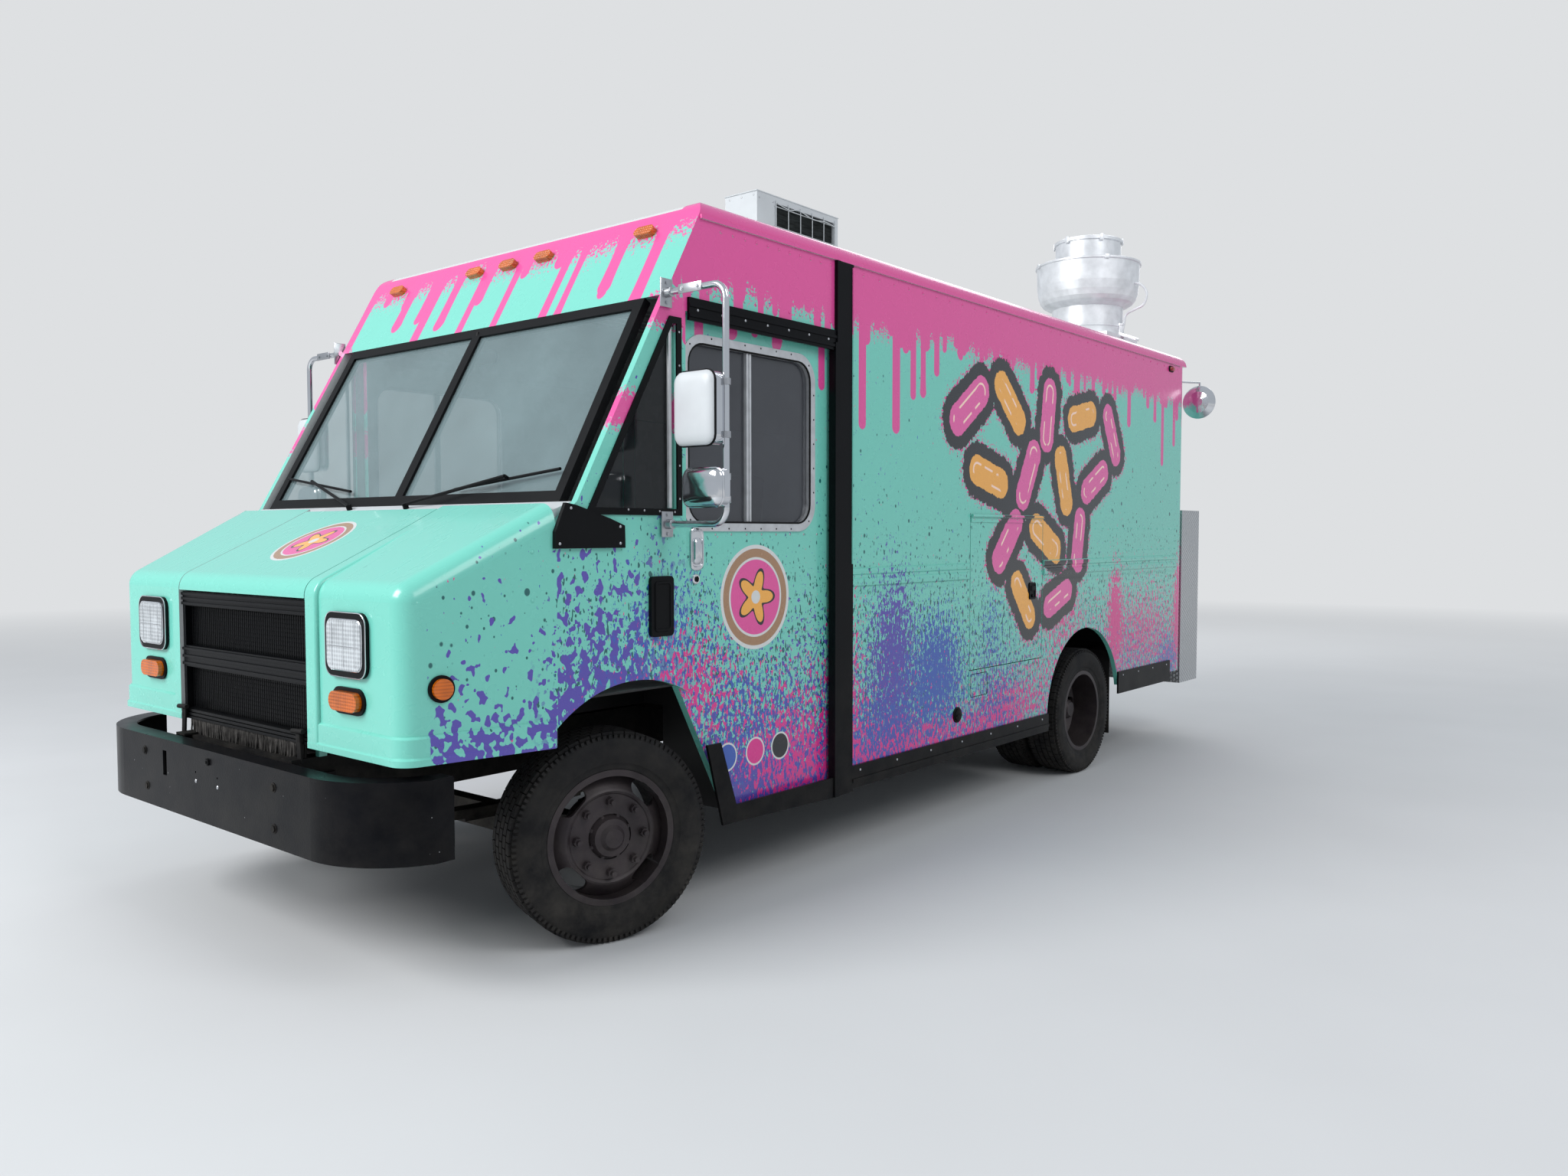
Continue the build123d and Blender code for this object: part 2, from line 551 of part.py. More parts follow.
POD = [(-392, 1511), (-60, 1511), (-62, 1594), (-135, 1620), (-297, 1667), (-344, 1674), (-391, 1571)]
POD_OUT = 16
VENT_BOX_Y = FRONT_AXLE_Y + 133
VENT_BOX_Z = 1282
VENT_BOX = (122, 234)
VENT_HIGH_Z = 2381
VENT_LOW_Z = 1660
VENT_REAR_Y = DOOR_FRONT_Y - 55
VENT = [(slope_y(VENT_HIGH_Z + 60) + 60, VENT_HIGH_Z), (slope_y(VENT_LOW_Z + 40) + 70, VENT_LOW_Z),
        (VENT_REAR_Y, SILL_Z + 55), (VENT_REAR_Y, VENT_HIGH_Z)]
VENT_RIM = 26
VENT_RIM_OUT = 8
with BuildPart() as cab_window_frames:
    with BuildSketch(GLASS_PLANE.offset(-FRAME_T)) as border:
        with BuildLine():
            Polyline((-GLASS_HALF_LOW, 0), (GLASS_HALF_LOW, 0), (GLASS_HALF_HIGH, GLASS_TALL),
                     (-GLASS_HALF_HIGH, GLASS_TALL), close=True)
        make_face()
    extrude(border.sketch, amount=FRAME_T)
    for side in (1, -1):
        with BuildSketch(GLASS_PLANE.offset(-FRAME_T)) as opening:
            pane_outline(FRAME_W, side)
        extrude(opening.sketch, amount=FRAME_T, mode=Mode.SUBTRACT)
    for side, tag in SIDES:
        rim_x = (side * HALF_WIDTH, side * (HALF_WIDTH + VENT_RIM_OUT))
        with BuildSketch(Plane.YZ.offset(min(rim_x))) as vent_rim:
            with BuildLine():
                Polyline(*VENT, close=True)
            make_face()
            offset(amount=VENT_RIM, kind=Kind.INTERSECTION)
            with BuildLine():
                Polyline(*VENT, close=True)
            make_face(mode=Mode.SUBTRACT)
        extrude(vent_rim.sketch, amount=VENT_RIM_OUT)
        x = (side * HALF_WIDTH, side * (HALF_WIDTH + POD_OUT))
        side_prism([(FRONT_AXLE_Y + along, z) for along, z in POD], x)
        with BuildSketch(Plane.YZ.offset(min(x))) as vent_box:
            with Locations((VENT_BOX_Y, VENT_BOX_Z)):
                RectangleRounded(*VENT_BOX, 18)
        extrude(vent_box.sketch, amount=POD_OUT)
save(cab_window_frames, "cab_window_frames")

with BuildPart() as cab_glass:
    for side in (1, -1):
        with BuildSketch(GLASS_PLANE.offset(-FRAME_T / 2)) as pane:
            pane_outline(FRAME_W, side)
        extrude(pane.sketch, amount=PANE_T)
    for side, tag in SIDES:
        side_prism(VENT, (side * (HALF_WIDTH - 18), side * (HALF_WIDTH - 12)))
save(cab_glass, "cab_glass")

# Side walls: skin, liner and posts as one panel, with the arches, door and windows cut
SERVE_Y = (FRONT_AXLE_Y + 2200, FRONT_AXLE_Y + 4100)
SERVE_Z = (1420, 2300)
HATCH_Z = (810, 1656)
PANEL_GAP = 5
DOOR_TRAVEL = 800
POCKET_CUT = 10
POCKET_REAR_Y = DOOR_REAR_Y + DOOR_TRAVEL + 40
TAIL_STEP_Y = REAR_AXLE_Y + 500
FLAP_PLATE_Y = (HATCH_Y[0] - 10, HATCH_Y[0] + 204)
FLAP_PLATE_Z = (644, 800)
BELT = [(0, 1275), (3, 1292), (4, 1308), (11, 1316), (12, 1332), (11, 1346), (4, 1353), (4, 1366),
        (10, 1371), (11, 1384), (10, 1397), (0, 1402)]


def belt(side, y):
    """The two-ribbed moulding along one side over the span y."""
    ridge([(side * (HALF_WIDTH + out), z) for out, z in BELT], y)


def wall_panel(side):
    """One side of the body from the windshield pillar to the rear corner post."""
    x = (side * WALL_IN, side * HALF_WIDTH)
    side_prism([(slope_y(DRIP_Z), DRIP_Z), (slope_y(GLASS_LOW_Z), GLASS_LOW_Z), (CLIP_REAR_Y, 1600),
                (CLIP_REAR_Y, SKIRT_Z), (TAIL_STEP_Y, SKIRT_Z), (TAIL_STEP_Y, TAIL_SKIRT_Z),
                (SIDE_REAR_Y, TAIL_SKIRT_Z), (SIDE_REAR_Y, DRIP_Z)], x)
    side_prism([(DOOR_FRONT_Y, DOOR_TOP_Z), (DOOR_FRONT_Y, DOOR_BEND_Z), (DOOR_TOE_Y, SKIRT_Z - 1),
                (DOOR_REAR_Y, SKIRT_Z - 1), (DOOR_REAR_Y, DOOR_TOP_Z)], x, Mode.SUBTRACT)
    for y, radius in ((FRONT_AXLE_Y, FRONT_ARCH_R), (REAR_AXLE_Y, REAR_ARCH_R)):
        rod((x[0], y, TIRE_R), (x[1], y, TIRE_R), radius, Mode.SUBTRACT)
    box(x, (CLIP_REAR_Y - 1, DOOR_TOE_Y + 10), (SKIRT_Z - 1, TIRE_R + 350), Mode.SUBTRACT)
    side_prism(VENT, x, Mode.SUBTRACT)
    box((side * (WALL_IN - 1), side * (WALL_IN + POCKET_CUT)), (DOOR_REAR_Y - 1, POCKET_REAR_Y),
        (SKIRT_Z + 20, DOOR_TOP_Z + 50), Mode.SUBTRACT)


with BuildPart() as wall_left:
    wall_panel(1)
    box((WALL_IN - 1, HALF_WIDTH + 1), (HATCH_Y[0] - PANEL_GAP, HATCH_Y[1] + PANEL_GAP),
        (HATCH_Z[0] - PANEL_GAP, HATCH_Z[1] + PANEL_GAP), Mode.SUBTRACT)
    belt(1, (POST_REAR_Y, HATCH_Y[0] - 24))
    belt(1, (HATCH_Y[1] + 10, SIDE_REAR_Y - 34))
    box((HALF_WIDTH, HALF_WIDTH + 4), FLAP_PLATE_Y, FLAP_PLATE_Z)
save(wall_left, "wall_left")

with BuildPart() as wall_right:
    wall_panel(-1)
    box((-WALL_IN + 1, -HALF_WIDTH - 1), (SERVE_Y[0] - PANEL_GAP, SERVE_Y[1] + PANEL_GAP),
        (SERVE_Z[0] - PANEL_GAP, SERVE_Z[1] + PANEL_GAP), Mode.SUBTRACT)
    belt(-1, (POST_REAR_Y, SIDE_REAR_Y - 34))
save(wall_right, "wall_right")

# Roof: a shallow cap with rolled edges, its drip rails and the raked header over the windshield
ROLL_R = 78
HEADER_T = 40
DRIP_OUT = 12
with BuildPart() as roof:
    side_prism([(slope_y(DRIP_Z), DRIP_Z), (slope_y(ROOF_Z), ROOF_Z),
                (BODY_REAR_Y, ROOF_Z), (BODY_REAR_Y, DRIP_Z)], (-HALF_WIDTH, HALF_WIDTH))
    top_edges = roof.edges().group_by(Axis.Z)[-1]
    fillet(top_edges, ROLL_R)
    side_prism([(slope_y(DRIP_Z) + 40, DRIP_Z - 1), (slope_y(ROOF_Z) + 20, ROOF_Z - WALL),
                (BODY_REAR_Y - WALL, ROOF_Z - WALL), (BODY_REAR_Y - WALL, DRIP_Z - 1)],
               (-WALL_IN, WALL_IN), Mode.SUBTRACT)
    header_foot = slope_y(GLASS_HIGH_Z)
    header_top = slope_y(DRIP_Z + 2)
    side_prism([(header_foot, GLASS_HIGH_Z), (header_top, DRIP_Z + 2), (header_top + HEADER_T, DRIP_Z + 2),
                (header_foot + HEADER_T, GLASS_HIGH_Z)], (-WALL_IN, WALL_IN))
    for side, tag in SIDES:
        box((side * HALF_WIDTH, side * (HALF_WIDTH + DRIP_OUT)), (HEADER_Y, SIDE_REAR_Y),
            (DRIP_Z - 8, DRIP_Z + 8))
save(roof, "roof")

# Floor with its step wells and wheel houses
FIREWALL_Y = CLIP_REAR_Y + 20
HOUSE_X = 655
HOUSE_Z = 965
PLATE = 8
WELL_Z = 430
HATCHWAY_HALF = 380
POCKET_X = WALL_IN - 46
FLOOR_REAR_Y = BODY_REAR_Y - WALL
with BuildPart() as floor:
    box((-WALL_IN, WALL_IN), (FIREWALL_Y, FLOOR_REAR_Y), (FLOOR_Z - FLOOR_T, FLOOR_Z))
    box((-HATCHWAY_HALF, HATCHWAY_HALF), (FIREWALL_Y - 1, FRONT_AXLE_Y + 130),
        (FLOOR_Z - FLOOR_T - 1, FLOOR_Z + 1), Mode.SUBTRACT)
    for side, tag in SIDES:
        box((side * POCKET_X, side * (WALL_IN + 1)), (FIREWALL_Y + PLATE, POCKET_REAR_Y),
            (FLOOR_Z - FLOOR_T - 1, FLOOR_Z + 1), Mode.SUBTRACT)
        box((side * (POCKET_X - 1), side * WALL_IN), (FIREWALL_Y, DOOR_FRONT_Y - 40),
            (HOUSE_Z - PLATE, HOUSE_Z))
        for axle_y, front_y, back_y in ((FRONT_AXLE_Y, FIREWALL_Y, FRONT_AXLE_Y + 545),
                                        (REAR_AXLE_Y, REAR_AXLE_Y - 560, REAR_AXLE_Y + 560)):
            edge_x = WALL_IN if axle_y == REAR_AXLE_Y else POCKET_X
            box((side * HOUSE_X, side * edge_x), (front_y, back_y), (FLOOR_Z - FLOOR_T, HOUSE_Z))
            box((side * (HOUSE_X + PLATE), side * (edge_x + 1)), (front_y + PLATE, back_y - PLATE),
                (FLOOR_Z - FLOOR_T - 1, HOUSE_Z - PLATE), Mode.SUBTRACT)
        well_y = (DOOR_TOE_Y + 5, DOOR_REAR_Y)
        box((side * WELL_X, side * POCKET_X), well_y, (DOOR_LOW_Z - 12 - SEAT_GAP, FLOOR_Z))
        box((side * (WELL_X + PLATE), side * (POCKET_X + 1)), (well_y[0] + PLATE, well_y[1] - PLATE),
            (WELL_Z, FLOOR_Z + 1), Mode.SUBTRACT)
        box((side * (POCKET_X - 20), side * WALL_IN), (DOOR_TOE_Y + 5, DOOR_REAR_Y + DOOR_TRAVEL),
            (DOOR_LOW_Z - 12 - SEAT_GAP, DOOR_LOW_Z - SEAT_GAP))
save(floor, "floor")

# Cowl and firewall
COWL_TOP_Z = 1650
COVER_HALF = 400
COVER_HIGH_Z = 1258
FRAME_BACK = GLASS_NORMAL * -FRAME_T
with BuildPart() as cowl:
    back_y = GLASS_LOW_Y + FRAME_BACK.Y
    side_prism([(CLIP_REAR_Y, FLOOR_Z - FLOOR_T), (CLIP_REAR_Y, COWL_TOP_Z - 12),
                (CLIP_REAR_Y + 5, COWL_TOP_Z - 5), (GLASS_LOW_Y, GLASS_LOW_Z - SEAT_GAP),
                (back_y, GLASS_LOW_Z - SEAT_GAP + FRAME_BACK.Z), (back_y, GLASS_LOW_Z - 45),
                (FIREWALL_Y, COWL_TOP_Z - 30), (FIREWALL_Y, FLOOR_Z - FLOOR_T)], (-WALL_IN, WALL_IN))
    box((-COVER_HALF, COVER_HALF), (CLIP_REAR_Y - 1, FIREWALL_Y + 1),
        (FLOOR_Z - FLOOR_T - 1, COVER_HIGH_Z + 2), Mode.SUBTRACT)
save(cowl, "cowl")

# Black rails: post covers, rocker panels, skirt and tail rails, door headers
RAIL_OUT = HALF_WIDTH + 12
POST_RIDGE = 7
RAIL_RIB = 5
POST_LOW_Z = 332
SIDE_RAIL_Z = (347, 455)
TAIL_RAIL_Z = (462, 612)
HEADER_Z = (2405, 2495)
ROCKER = [(387, 700), (470, 700), (565, 425), (DOOR_REAR_Y - FRONT_AXLE_Y, 425),
          (DOOR_REAR_Y - FRONT_AXLE_Y, 330), (545, 352), (482, 352)]
with BuildPart() as black_rails:
    for side, tag in SIDES:
        x = (side * HALF_WIDTH, side * RAIL_OUT)
        ridge_x = (side * RAIL_OUT, side * (RAIL_OUT + POST_RIDGE))
        rib_x = (side * RAIL_OUT, side * (RAIL_OUT + RAIL_RIB))
        skirt_y = (POST_REAR_Y, REAR_AXLE_Y - REAR_ARCH_R)
        header_y = (DOOR_FRONT_Y + 10, DOOR_REAR_Y)
        box(x, (DOOR_REAR_Y, POST_REAR_Y), (POST_LOW_Z, DRIP_Z - 10))
        box(ridge_x, (DOOR_REAR_Y, DOOR_REAR_Y + 24), (POST_LOW_Z, DRIP_Z - 10))
        box((side * (WALL_IN + POCKET_CUT), ridge_x[1]), (DOOR_REAR_Y - 14, DOOR_REAR_Y),
            (POST_LOW_Z, DOOR_TOP_Z))
        side_prism([(FRONT_AXLE_Y + along, z) for along, z in ROCKER], x)
        box(x, skirt_y, SIDE_RAIL_Z)
        box(rib_x, skirt_y, (SIDE_RAIL_Z[0] + 28, SIDE_RAIL_Z[0] + 45))
        box(x, (REAR_AXLE_Y + 510, REAR_AXLE_Y + 1460), TAIL_RAIL_Z)
        box(x, header_y, HEADER_Z)
        for z in (HEADER_Z[0] + 20, HEADER_Z[1] - 30):
            box(rib_x, header_y, (z - 6, z + 6))
save(black_rails, "black_rails")

# Cab doors: sliding panels in the wall pockets, hung in a track
DOOR_OUT = WALL_IN - RUN_GAP
DOOR_T = 34
DOOR_HEAD_Z = 2499.7
TRACK_T = 6
WINDOW_Y = (FRONT_AXLE_Y + 310, FRONT_AXLE_Y + 1130)
WINDOW_Z = (1595, 2345)
WINDOW_R = 100
DOOR_LAP = 14
FRAME_PROUD = 8
FRAME_LAP = 22
FRAME_LIP = 16
MULLION_Y = FRONT_AXLE_Y + 700


def door_panel(side):
    """One cab door with its window cut, closed."""
    x = (side * (DOOR_OUT - DOOR_T), side * DOOR_OUT)
    front, rear = DOOR_FRONT_Y - DOOR_LAP, DOOR_REAR_Y + DOOR_LAP
    side_prism([(front, DOOR_HEAD_Z), (front, DOOR_BEND_Z), (DOOR_TOE_Y, DOOR_LOW_Z),
                (rear, DOOR_LOW_Z), (rear, DOOR_HEAD_Z)], x)
    window_block(side, DOOR_OUT - DOOR_T - 1, DOOR_OUT + 1, 0, Mode.SUBTRACT)


def window_block(side, near, far, grow, mode=Mode.ADD):
    """The door window's rounded outline, grown on every edge, between two distances from the middle."""
    wide = WINDOW_Y[1] - WINDOW_Y[0] + 2 * grow
    tall = WINDOW_Z[1] - WINDOW_Z[0] + 2 * grow
    with BuildSketch(Plane.YZ.offset(min(side * near, side * far))) as outline:
        with Locations((sum(WINDOW_Y) / 2, sum(WINDOW_Z) / 2)):
            RectangleRounded(wide, tall, WINDOW_R + grow)
    extrude(outline.sketch, amount=far - near, mode=mode)


for side, tag in SIDES:
    with BuildPart() as door:
        door_panel(side)
    save(door, f"cab_door_{tag}")
    with BuildPart() as window_frame:
        window_block(side, DOOR_OUT, DOOR_OUT + FRAME_PROUD, FRAME_LAP)
        window_block(side, DOOR_OUT - DOOR_T, DOOR_OUT, 0)
        window_block(side, DOOR_OUT - DOOR_T - 1, DOOR_OUT + FRAME_PROUD + 1, -FRAME_LIP, Mode.SUBTRACT)
        box((side * (DOOR_OUT - 14), side * (DOOR_OUT - 2)), (MULLION_Y - 16, MULLION_Y + 16),
            (WINDOW_Z[0] + FRAME_LIP, WINDOW_Z[1] - FRAME_LIP))
    save(window_frame, f"window_frame_{tag}")
    with BuildPart() as glass:
        window_block(side, DOOR_OUT - 20, DOOR_OUT - 14, -FRAME_LIP)
    save(glass, f"door_glass_{tag}")

with BuildPart() as door_tracks:
    for side, tag in SIDES:
        track_y = (DOOR_FRONT_Y - 30, DOOR_REAR_Y + DOOR_TRAVEL + 30)
        outer = side * WALL_IN
        inner = side * (DOOR_OUT - DOOR_T - RUN_GAP)
        track_z = DOOR_HEAD_Z + SEAT_GAP
        box((inner - side * TRACK_T, outer), track_y, (track_z, track_z + TRACK_T))
        box((inner - side * TRACK_T, inner), track_y, (DOOR_HEAD_Z - 50, track_z))
save(door_tracks, "door_tracks")

# Rear wall with rounded corner posts and the doorway
REAR_DOOR_Z = (FLOOR_Z, 2650)
POST_R = 100
with BuildPart() as rear_wall:
    box((-HALF_WIDTH, HALF_WIDTH), (SIDE_REAR_Y, BODY_REAR_Y), (TAIL_SKIRT_Z, DRIP_Z))
    posts = rear_wall.edges().filter_by(Axis.Z).group_by(Axis.Y)[-1]
    fillet(posts, POST_R)
    box((-WALL_IN, WALL_IN), (SIDE_REAR_Y - 1, BODY_REAR_Y - WALL), (TAIL_SKIRT_Z - 1, DRIP_Z + 1),
        Mode.SUBTRACT)
    box((REAR_DOOR_X[0] - PANEL_GAP, REAR_DOOR_X[1] + PANEL_GAP), (BODY_REAR_Y - WALL - 1, BODY_REAR_Y + 1),
        (REAR_DOOR_Z[0] - PANEL_GAP, REAR_DOOR_Z[1] + PANEL_GAP), Mode.SUBTRACT)
    box((-WALL_IN + 100, WALL_IN - 100), (SIDE_REAR_Y - 1, BODY_REAR_Y + 1),
        (TAIL_SKIRT_Z - 1, FLOOR_Z - FLOOR_T), Mode.SUBTRACT)
save(rear_wall, "rear_wall")

HINGE_R = 9
HINGE_OUT = HINGE_R + SEAT_GAP
HINGE_HALF = 50
HINGE_LEAF = 5
REAR_DOOR_TALL = REAR_DOOR_Z[1] - REAR_DOOR_Z[0]
HINGE_Z = [REAR_DOOR_Z[0] + share * REAR_DOOR_TALL for share in (0.14, 0.5, 0.86)]
with BuildPart() as rear_door:
    box(REAR_DOOR_X, (BODY_REAR_Y - WALL, BODY_REAR_Y), REAR_DOOR_Z)
    pin_x, pin_y = REAR_DOOR_X[0], BODY_REAR_Y + HINGE_OUT
    for z in HINGE_Z:
        rod((pin_x, pin_y, z - HINGE_HALF), (pin_x, pin_y, z + HINGE_HALF), HINGE_R)
        box((pin_x, pin_x + 60), (BODY_REAR_Y, BODY_REAR_Y + HINGE_LEAF), (z - HINGE_HALF, z + HINGE_HALF))
save(rear_door, "rear_door")

# Rear platform and the gas cabinet on it
CABINET_Z = (470, 1740)
with BuildPart() as rear_platform:
    box((-OUTRIGGER_X, CABINET_X[1]), (BODY_REAR_Y, CABINET_REAR_Y), (CABINET_Z[0] - 60, CABINET_Z[0]))
    box((-OUTRIGGER_X + 10, CABINET_X[1] - 10), (BODY_REAR_Y + 10, CABINET_REAR_Y - 10),
        (CABINET_Z[0] - 61, CABINET_Z[0] - PLATE), Mode.SUBTRACT)
    for side, tag in SIDES:
        rail_span = (side * RAIL_IN, side * RAIL_OUTER)
        box(rail_span, (BODY_REAR_Y - 200, BODY_REAR_Y + 100), (CABINET_Z[0] - 40, CABINET_Z[0]))
        box(rail_span, (BODY_REAR_Y - 200, BODY_REAR_Y - WALL), (CABINET_Z[0], RAIL_LOW_Z))
save(rear_platform, "rear_platform")

with BuildPart() as gas_cabinet:
    box(CABINET_X, (BODY_REAR_Y, CABINET_REAR_Y), CABINET_Z)
save(gas_cabinet, "gas_cabinet")

# Side hatch in the left wall and the awning over the serving window in the right wall
with BuildPart() as side_hatch:
    box((WALL_IN, HALF_WIDTH), HATCH_Y, HATCH_Z)
    pin_x = HALF_WIDTH + HINGE_OUT
    pin_z = HATCH_Z[1] + PANEL_GAP
    rod((pin_x, HATCH_Y[0], pin_z), (pin_x, HATCH_Y[1], pin_z), HINGE_R)
    box((HALF_WIDTH, HALF_WIDTH + HINGE_LEAF), HATCH_Y, (HATCH_Z[1] - 30, HATCH_Z[1]))
save(side_hatch, "side_hatch")

with BuildPart() as awning:
    box((-WALL_IN, -HALF_WIDTH), SERVE_Y, SERVE_Z)
    pin_x = -HALF_WIDTH - HINGE_OUT
    pin_z = SERVE_Z[1] + PANEL_GAP
    rod((pin_x, SERVE_Y[0], pin_z), (pin_x, SERVE_Y[1], pin_z), HINGE_R)
    box((-HALF_WIDTH, -HALF_WIDTH - HINGE_LEAF), SERVE_Y, (SERVE_Z[1] - 30, SERVE_Z[1]))
save(awning, "awning")

COUNTER_DEEP = 600
with BuildPart() as serving_counter:
    counter_y = (SERVE_Y[0] - 100, SERVE_Y[1] + 100)
    box((-WALL_IN, -WALL_IN + COUNTER_DEEP), counter_y, (SERVE_Z[0] - 60, SERVE_Z[0] - 20))
    for y in (counter_y[0], counter_y[1] - 20):
        box((-WALL_IN + COUNTER_DEEP - 40, -WALL_IN + COUNTER_DEEP), (y, y + 20),
            (FLOOR_Z, SERVE_Z[0] - 60))
save(serving_counter, "serving_counter")

# Mirrors on tube arms, and the round one at the rear corner
ARM_R = 13
ARM_X = HALF_WIDTH + 320
ARM_Z = (1600, 2490)
MIRROR_Y = FRONT_AXLE_Y + 164
DISH_R = 125
STEM_R = 7
DISH = (HALF_WIDTH + 55, BODY_REAR_Y + 130, 2568)


def mirror_head(x, z, width, height, radius, depth):
    """One rounded mirror head on the front of its arm."""
    with BuildSketch(Plane.XZ.offset(-MIRROR_Y + ARM_R - 2)) as head:
        with Locations((x, z)):
            RectangleRounded(width, height, radius)
    extrude(head.sketch, amount=depth)


with BuildPart() as mirrors:
    for side, tag in SIDES:
        top = (side * HALF_WIDTH, MIRROR_Y, ARM_Z[1])
        bottom = (side * HALF_WIDTH, MIRROR_Y, ARM_Z[0])
        with BuildLine() as arm:
            FilletPolyline(top, (side * ARM_X, MIRROR_Y, ARM_Z[1]), (side * ARM_X, MIRROR_Y, ARM_Z[0]),
                           bottom, radius=60)
        with BuildSketch(Plane(origin=top, z_dir=(side, 0, 0))) as tube:
            Circle(ARM_R)
        sweep(tube.sketch, path=arm.line)
        mirror_head(side * (ARM_X - 100), ARM_Z[0] + 428, 200, 275, 38, 48)
        mirror_head(side * (ARM_X - 70), ARM_Z[0] + 135, 200, 140, 34, 38)
    dish_plane = Plane(origin=DISH, x_dir=(0, -1, 0), z_dir=(0, 0, 1))
    turned([(0, 0), (0, DISH_R), (6, DISH_R), (10, DISH_R - 8), (26, 80), (34, 35), (36, 0)], dish_plane)
    stem = Vector(DISH[0], DISH[1] + 6, DISH[2] + DISH_R + 25)
    rod((DISH[0], DISH[1] + 6, DISH[2]), tuple(stem), STEM_R)
    corner = Vector(HALF_WIDTH - POST_R, BODY_REAR_Y - POST_R, stem.Z)
    rod(tuple(corner + (stem - corner).normalized() * (POST_R + SEAT_GAP)), tuple(stem), STEM_R)
save(mirrors, "mirrors")

# Roof equipment: condenser with its fan, and the exhaust fan
AC_X = (-125, 115)
AC_Y = (REAR_AXLE_Y - 2045, REAR_AXLE_Y - 1285)
AC_Z = (ROOF_Z + 25, 3490)
AC_FAN_Y = AC_Y[1] - 280
AC_FAN_Z = (AC_Z[0] + AC_Z[1]) / 2
AC_WELL_R = 225
AC_WELL_DEEP = 140
AC_SHAFT_X = AC_X[0] + 100
with BuildPart() as ac_unit:
    box(AC_X, AC_Y, AC_Z)
    well_x = AC_X[0] + AC_WELL_DEEP
    rod((AC_X[0] - 1, AC_FAN_Y, AC_FAN_Z), (well_x, AC_FAN_Y, AC_FAN_Z), AC_WELL_R, Mode.SUBTRACT)
    rod((AC_SHAFT_X, AC_FAN_Y, AC_FAN_Z), (well_x + 1, AC_FAN_Y, AC_FAN_Z), 40)
    box((AC_X[1] - 25, AC_X[1] + 1), (AC_Y[0] + 165, AC_Y[1] - 40), (AC_Z[0] + 35, AC_Z[1] - 35),
        Mode.SUBTRACT)
    for y in (AC_Y[0] + 80, AC_Y[1] - 120):
        box((AC_X[0] - 20, AC_X[1] + 20), (y, y + 40), (ROOF_Z, AC_Z[0]))
save(ac_unit, "ac_unit")

with BuildPart() as ac_fan:
    hub_x = AC_SHAFT_X - SEAT_GAP
    rod((hub_x - 60, AC_FAN_Y, AC_FAN_Z), (hub_x, AC_FAN_Y, AC_FAN_Z), 45)
    for turn in (0, 120, 240):
        along = (0, cos(radians(turn)), sin(radians(turn)))
        blade = Plane(origin=(hub_x - 30, AC_FAN_Y, AC_FAN_Z), x_dir=along, z_dir=(1, 0, 0))
        with BuildSketch(blade.rotated((30, 0, 0))) as paddle:
            with Locations((120, 0)):
                RectangleRounded(160, 100, 30)
        extrude(paddle.sketch, amount=4, both=True)
save(ac_fan, "ac_fan")

EXHAUST_X = 720
EXHAUST_Y = REAR_AXLE_Y + 970
BOWL_R = 367
NECK_R = 252
CURB_HALF = 270
CURB_TALL = 80
BOWL_PROFILE = [(CURB_TALL, 0), (CURB_TALL, NECK_R), (140, NECK_R), (143, NECK_R + 5), (150, NECK_R + 5),
                (153, NECK_R), (288, NECK_R), (296, NECK_R + 14), (306, 292), (322, 318), (348, 338),
                (390, 352), (450, 361), (590, BOWL_R - 2), (594, BOWL_R + 8), (606, BOWL_R + 8),
                (610, BOWL_R - 2), (560, BOWL_R - 16), (560, 232), (752, 232), (756, 242), (776, 242),
                (784, 225), (784, 0)]
with BuildPart() as exhaust_fan:
    box((EXHAUST_X - CURB_HALF, EXHAUST_X + CURB_HALF), (EXHAUST_Y - CURB_HALF, EXHAUST_Y + CURB_HALF),
        (ROOF_Z, ROOF_Z + CURB_TALL))
    turned(BOWL_PROFILE, Plane(origin=(EXHAUST_X, EXHAUST_Y, ROOF_Z), x_dir=(0, 0, 1), z_dir=(0, 1, 0)))
save(exhaust_fan, "exhaust_fan")

# Roof markers and tail lamps
with BuildPart() as roof_markers:
    lamp_plane = Plane(origin=(0, slope_y(DRIP_Z - 30), DRIP_Z - 30), x_dir=(1, 0, 0), z_dir=GLASS_NORMAL)
    with BuildSketch(lamp_plane) as ovals:
        for x in MARKER_X:
            with Locations((x, 0)):
                SlotOverall(110, 45)
    extrude(ovals.sketch, amount=25)
save(roof_markers, "roof_markers")

TAIL_LAMP_Z = 1120
TAIL_LAMP_X = HALF_WIDTH - 160
HIGH_LAMP_X = HALF_WIDTH - POST_R - 40
HIGH_LAMP_Z = DRIP_Z - 124
with BuildPart() as rear_lamps:
    for x in (-HIGH_LAMP_X, HIGH_LAMP_X):
        rod((x, BODY_REAR_Y, HIGH_LAMP_Z), (x, BODY_REAR_Y + 20, HIGH_LAMP_Z), 30)
    for x, y in ((-TAIL_LAMP_X, BODY_REAR_Y), (TAIL_LAMP_X, CABINET_REAR_Y)):
        rod((x, y, TAIL_LAMP_Z), (x, y + 18, TAIL_LAMP_Z), 50)
save(rear_lamps, "rear_lamps")

# Mudflaps behind the rear wheels
with BuildPart() as mudflaps:
    for side, tag in SIDES:
        box((side * MUDFLAP_X[0], side * MUDFLAP_X[1]), (FLAP_Y - 8, FLAP_Y), (190, RAIL_HIGH_Z))
save(mudflaps, "mudflaps")

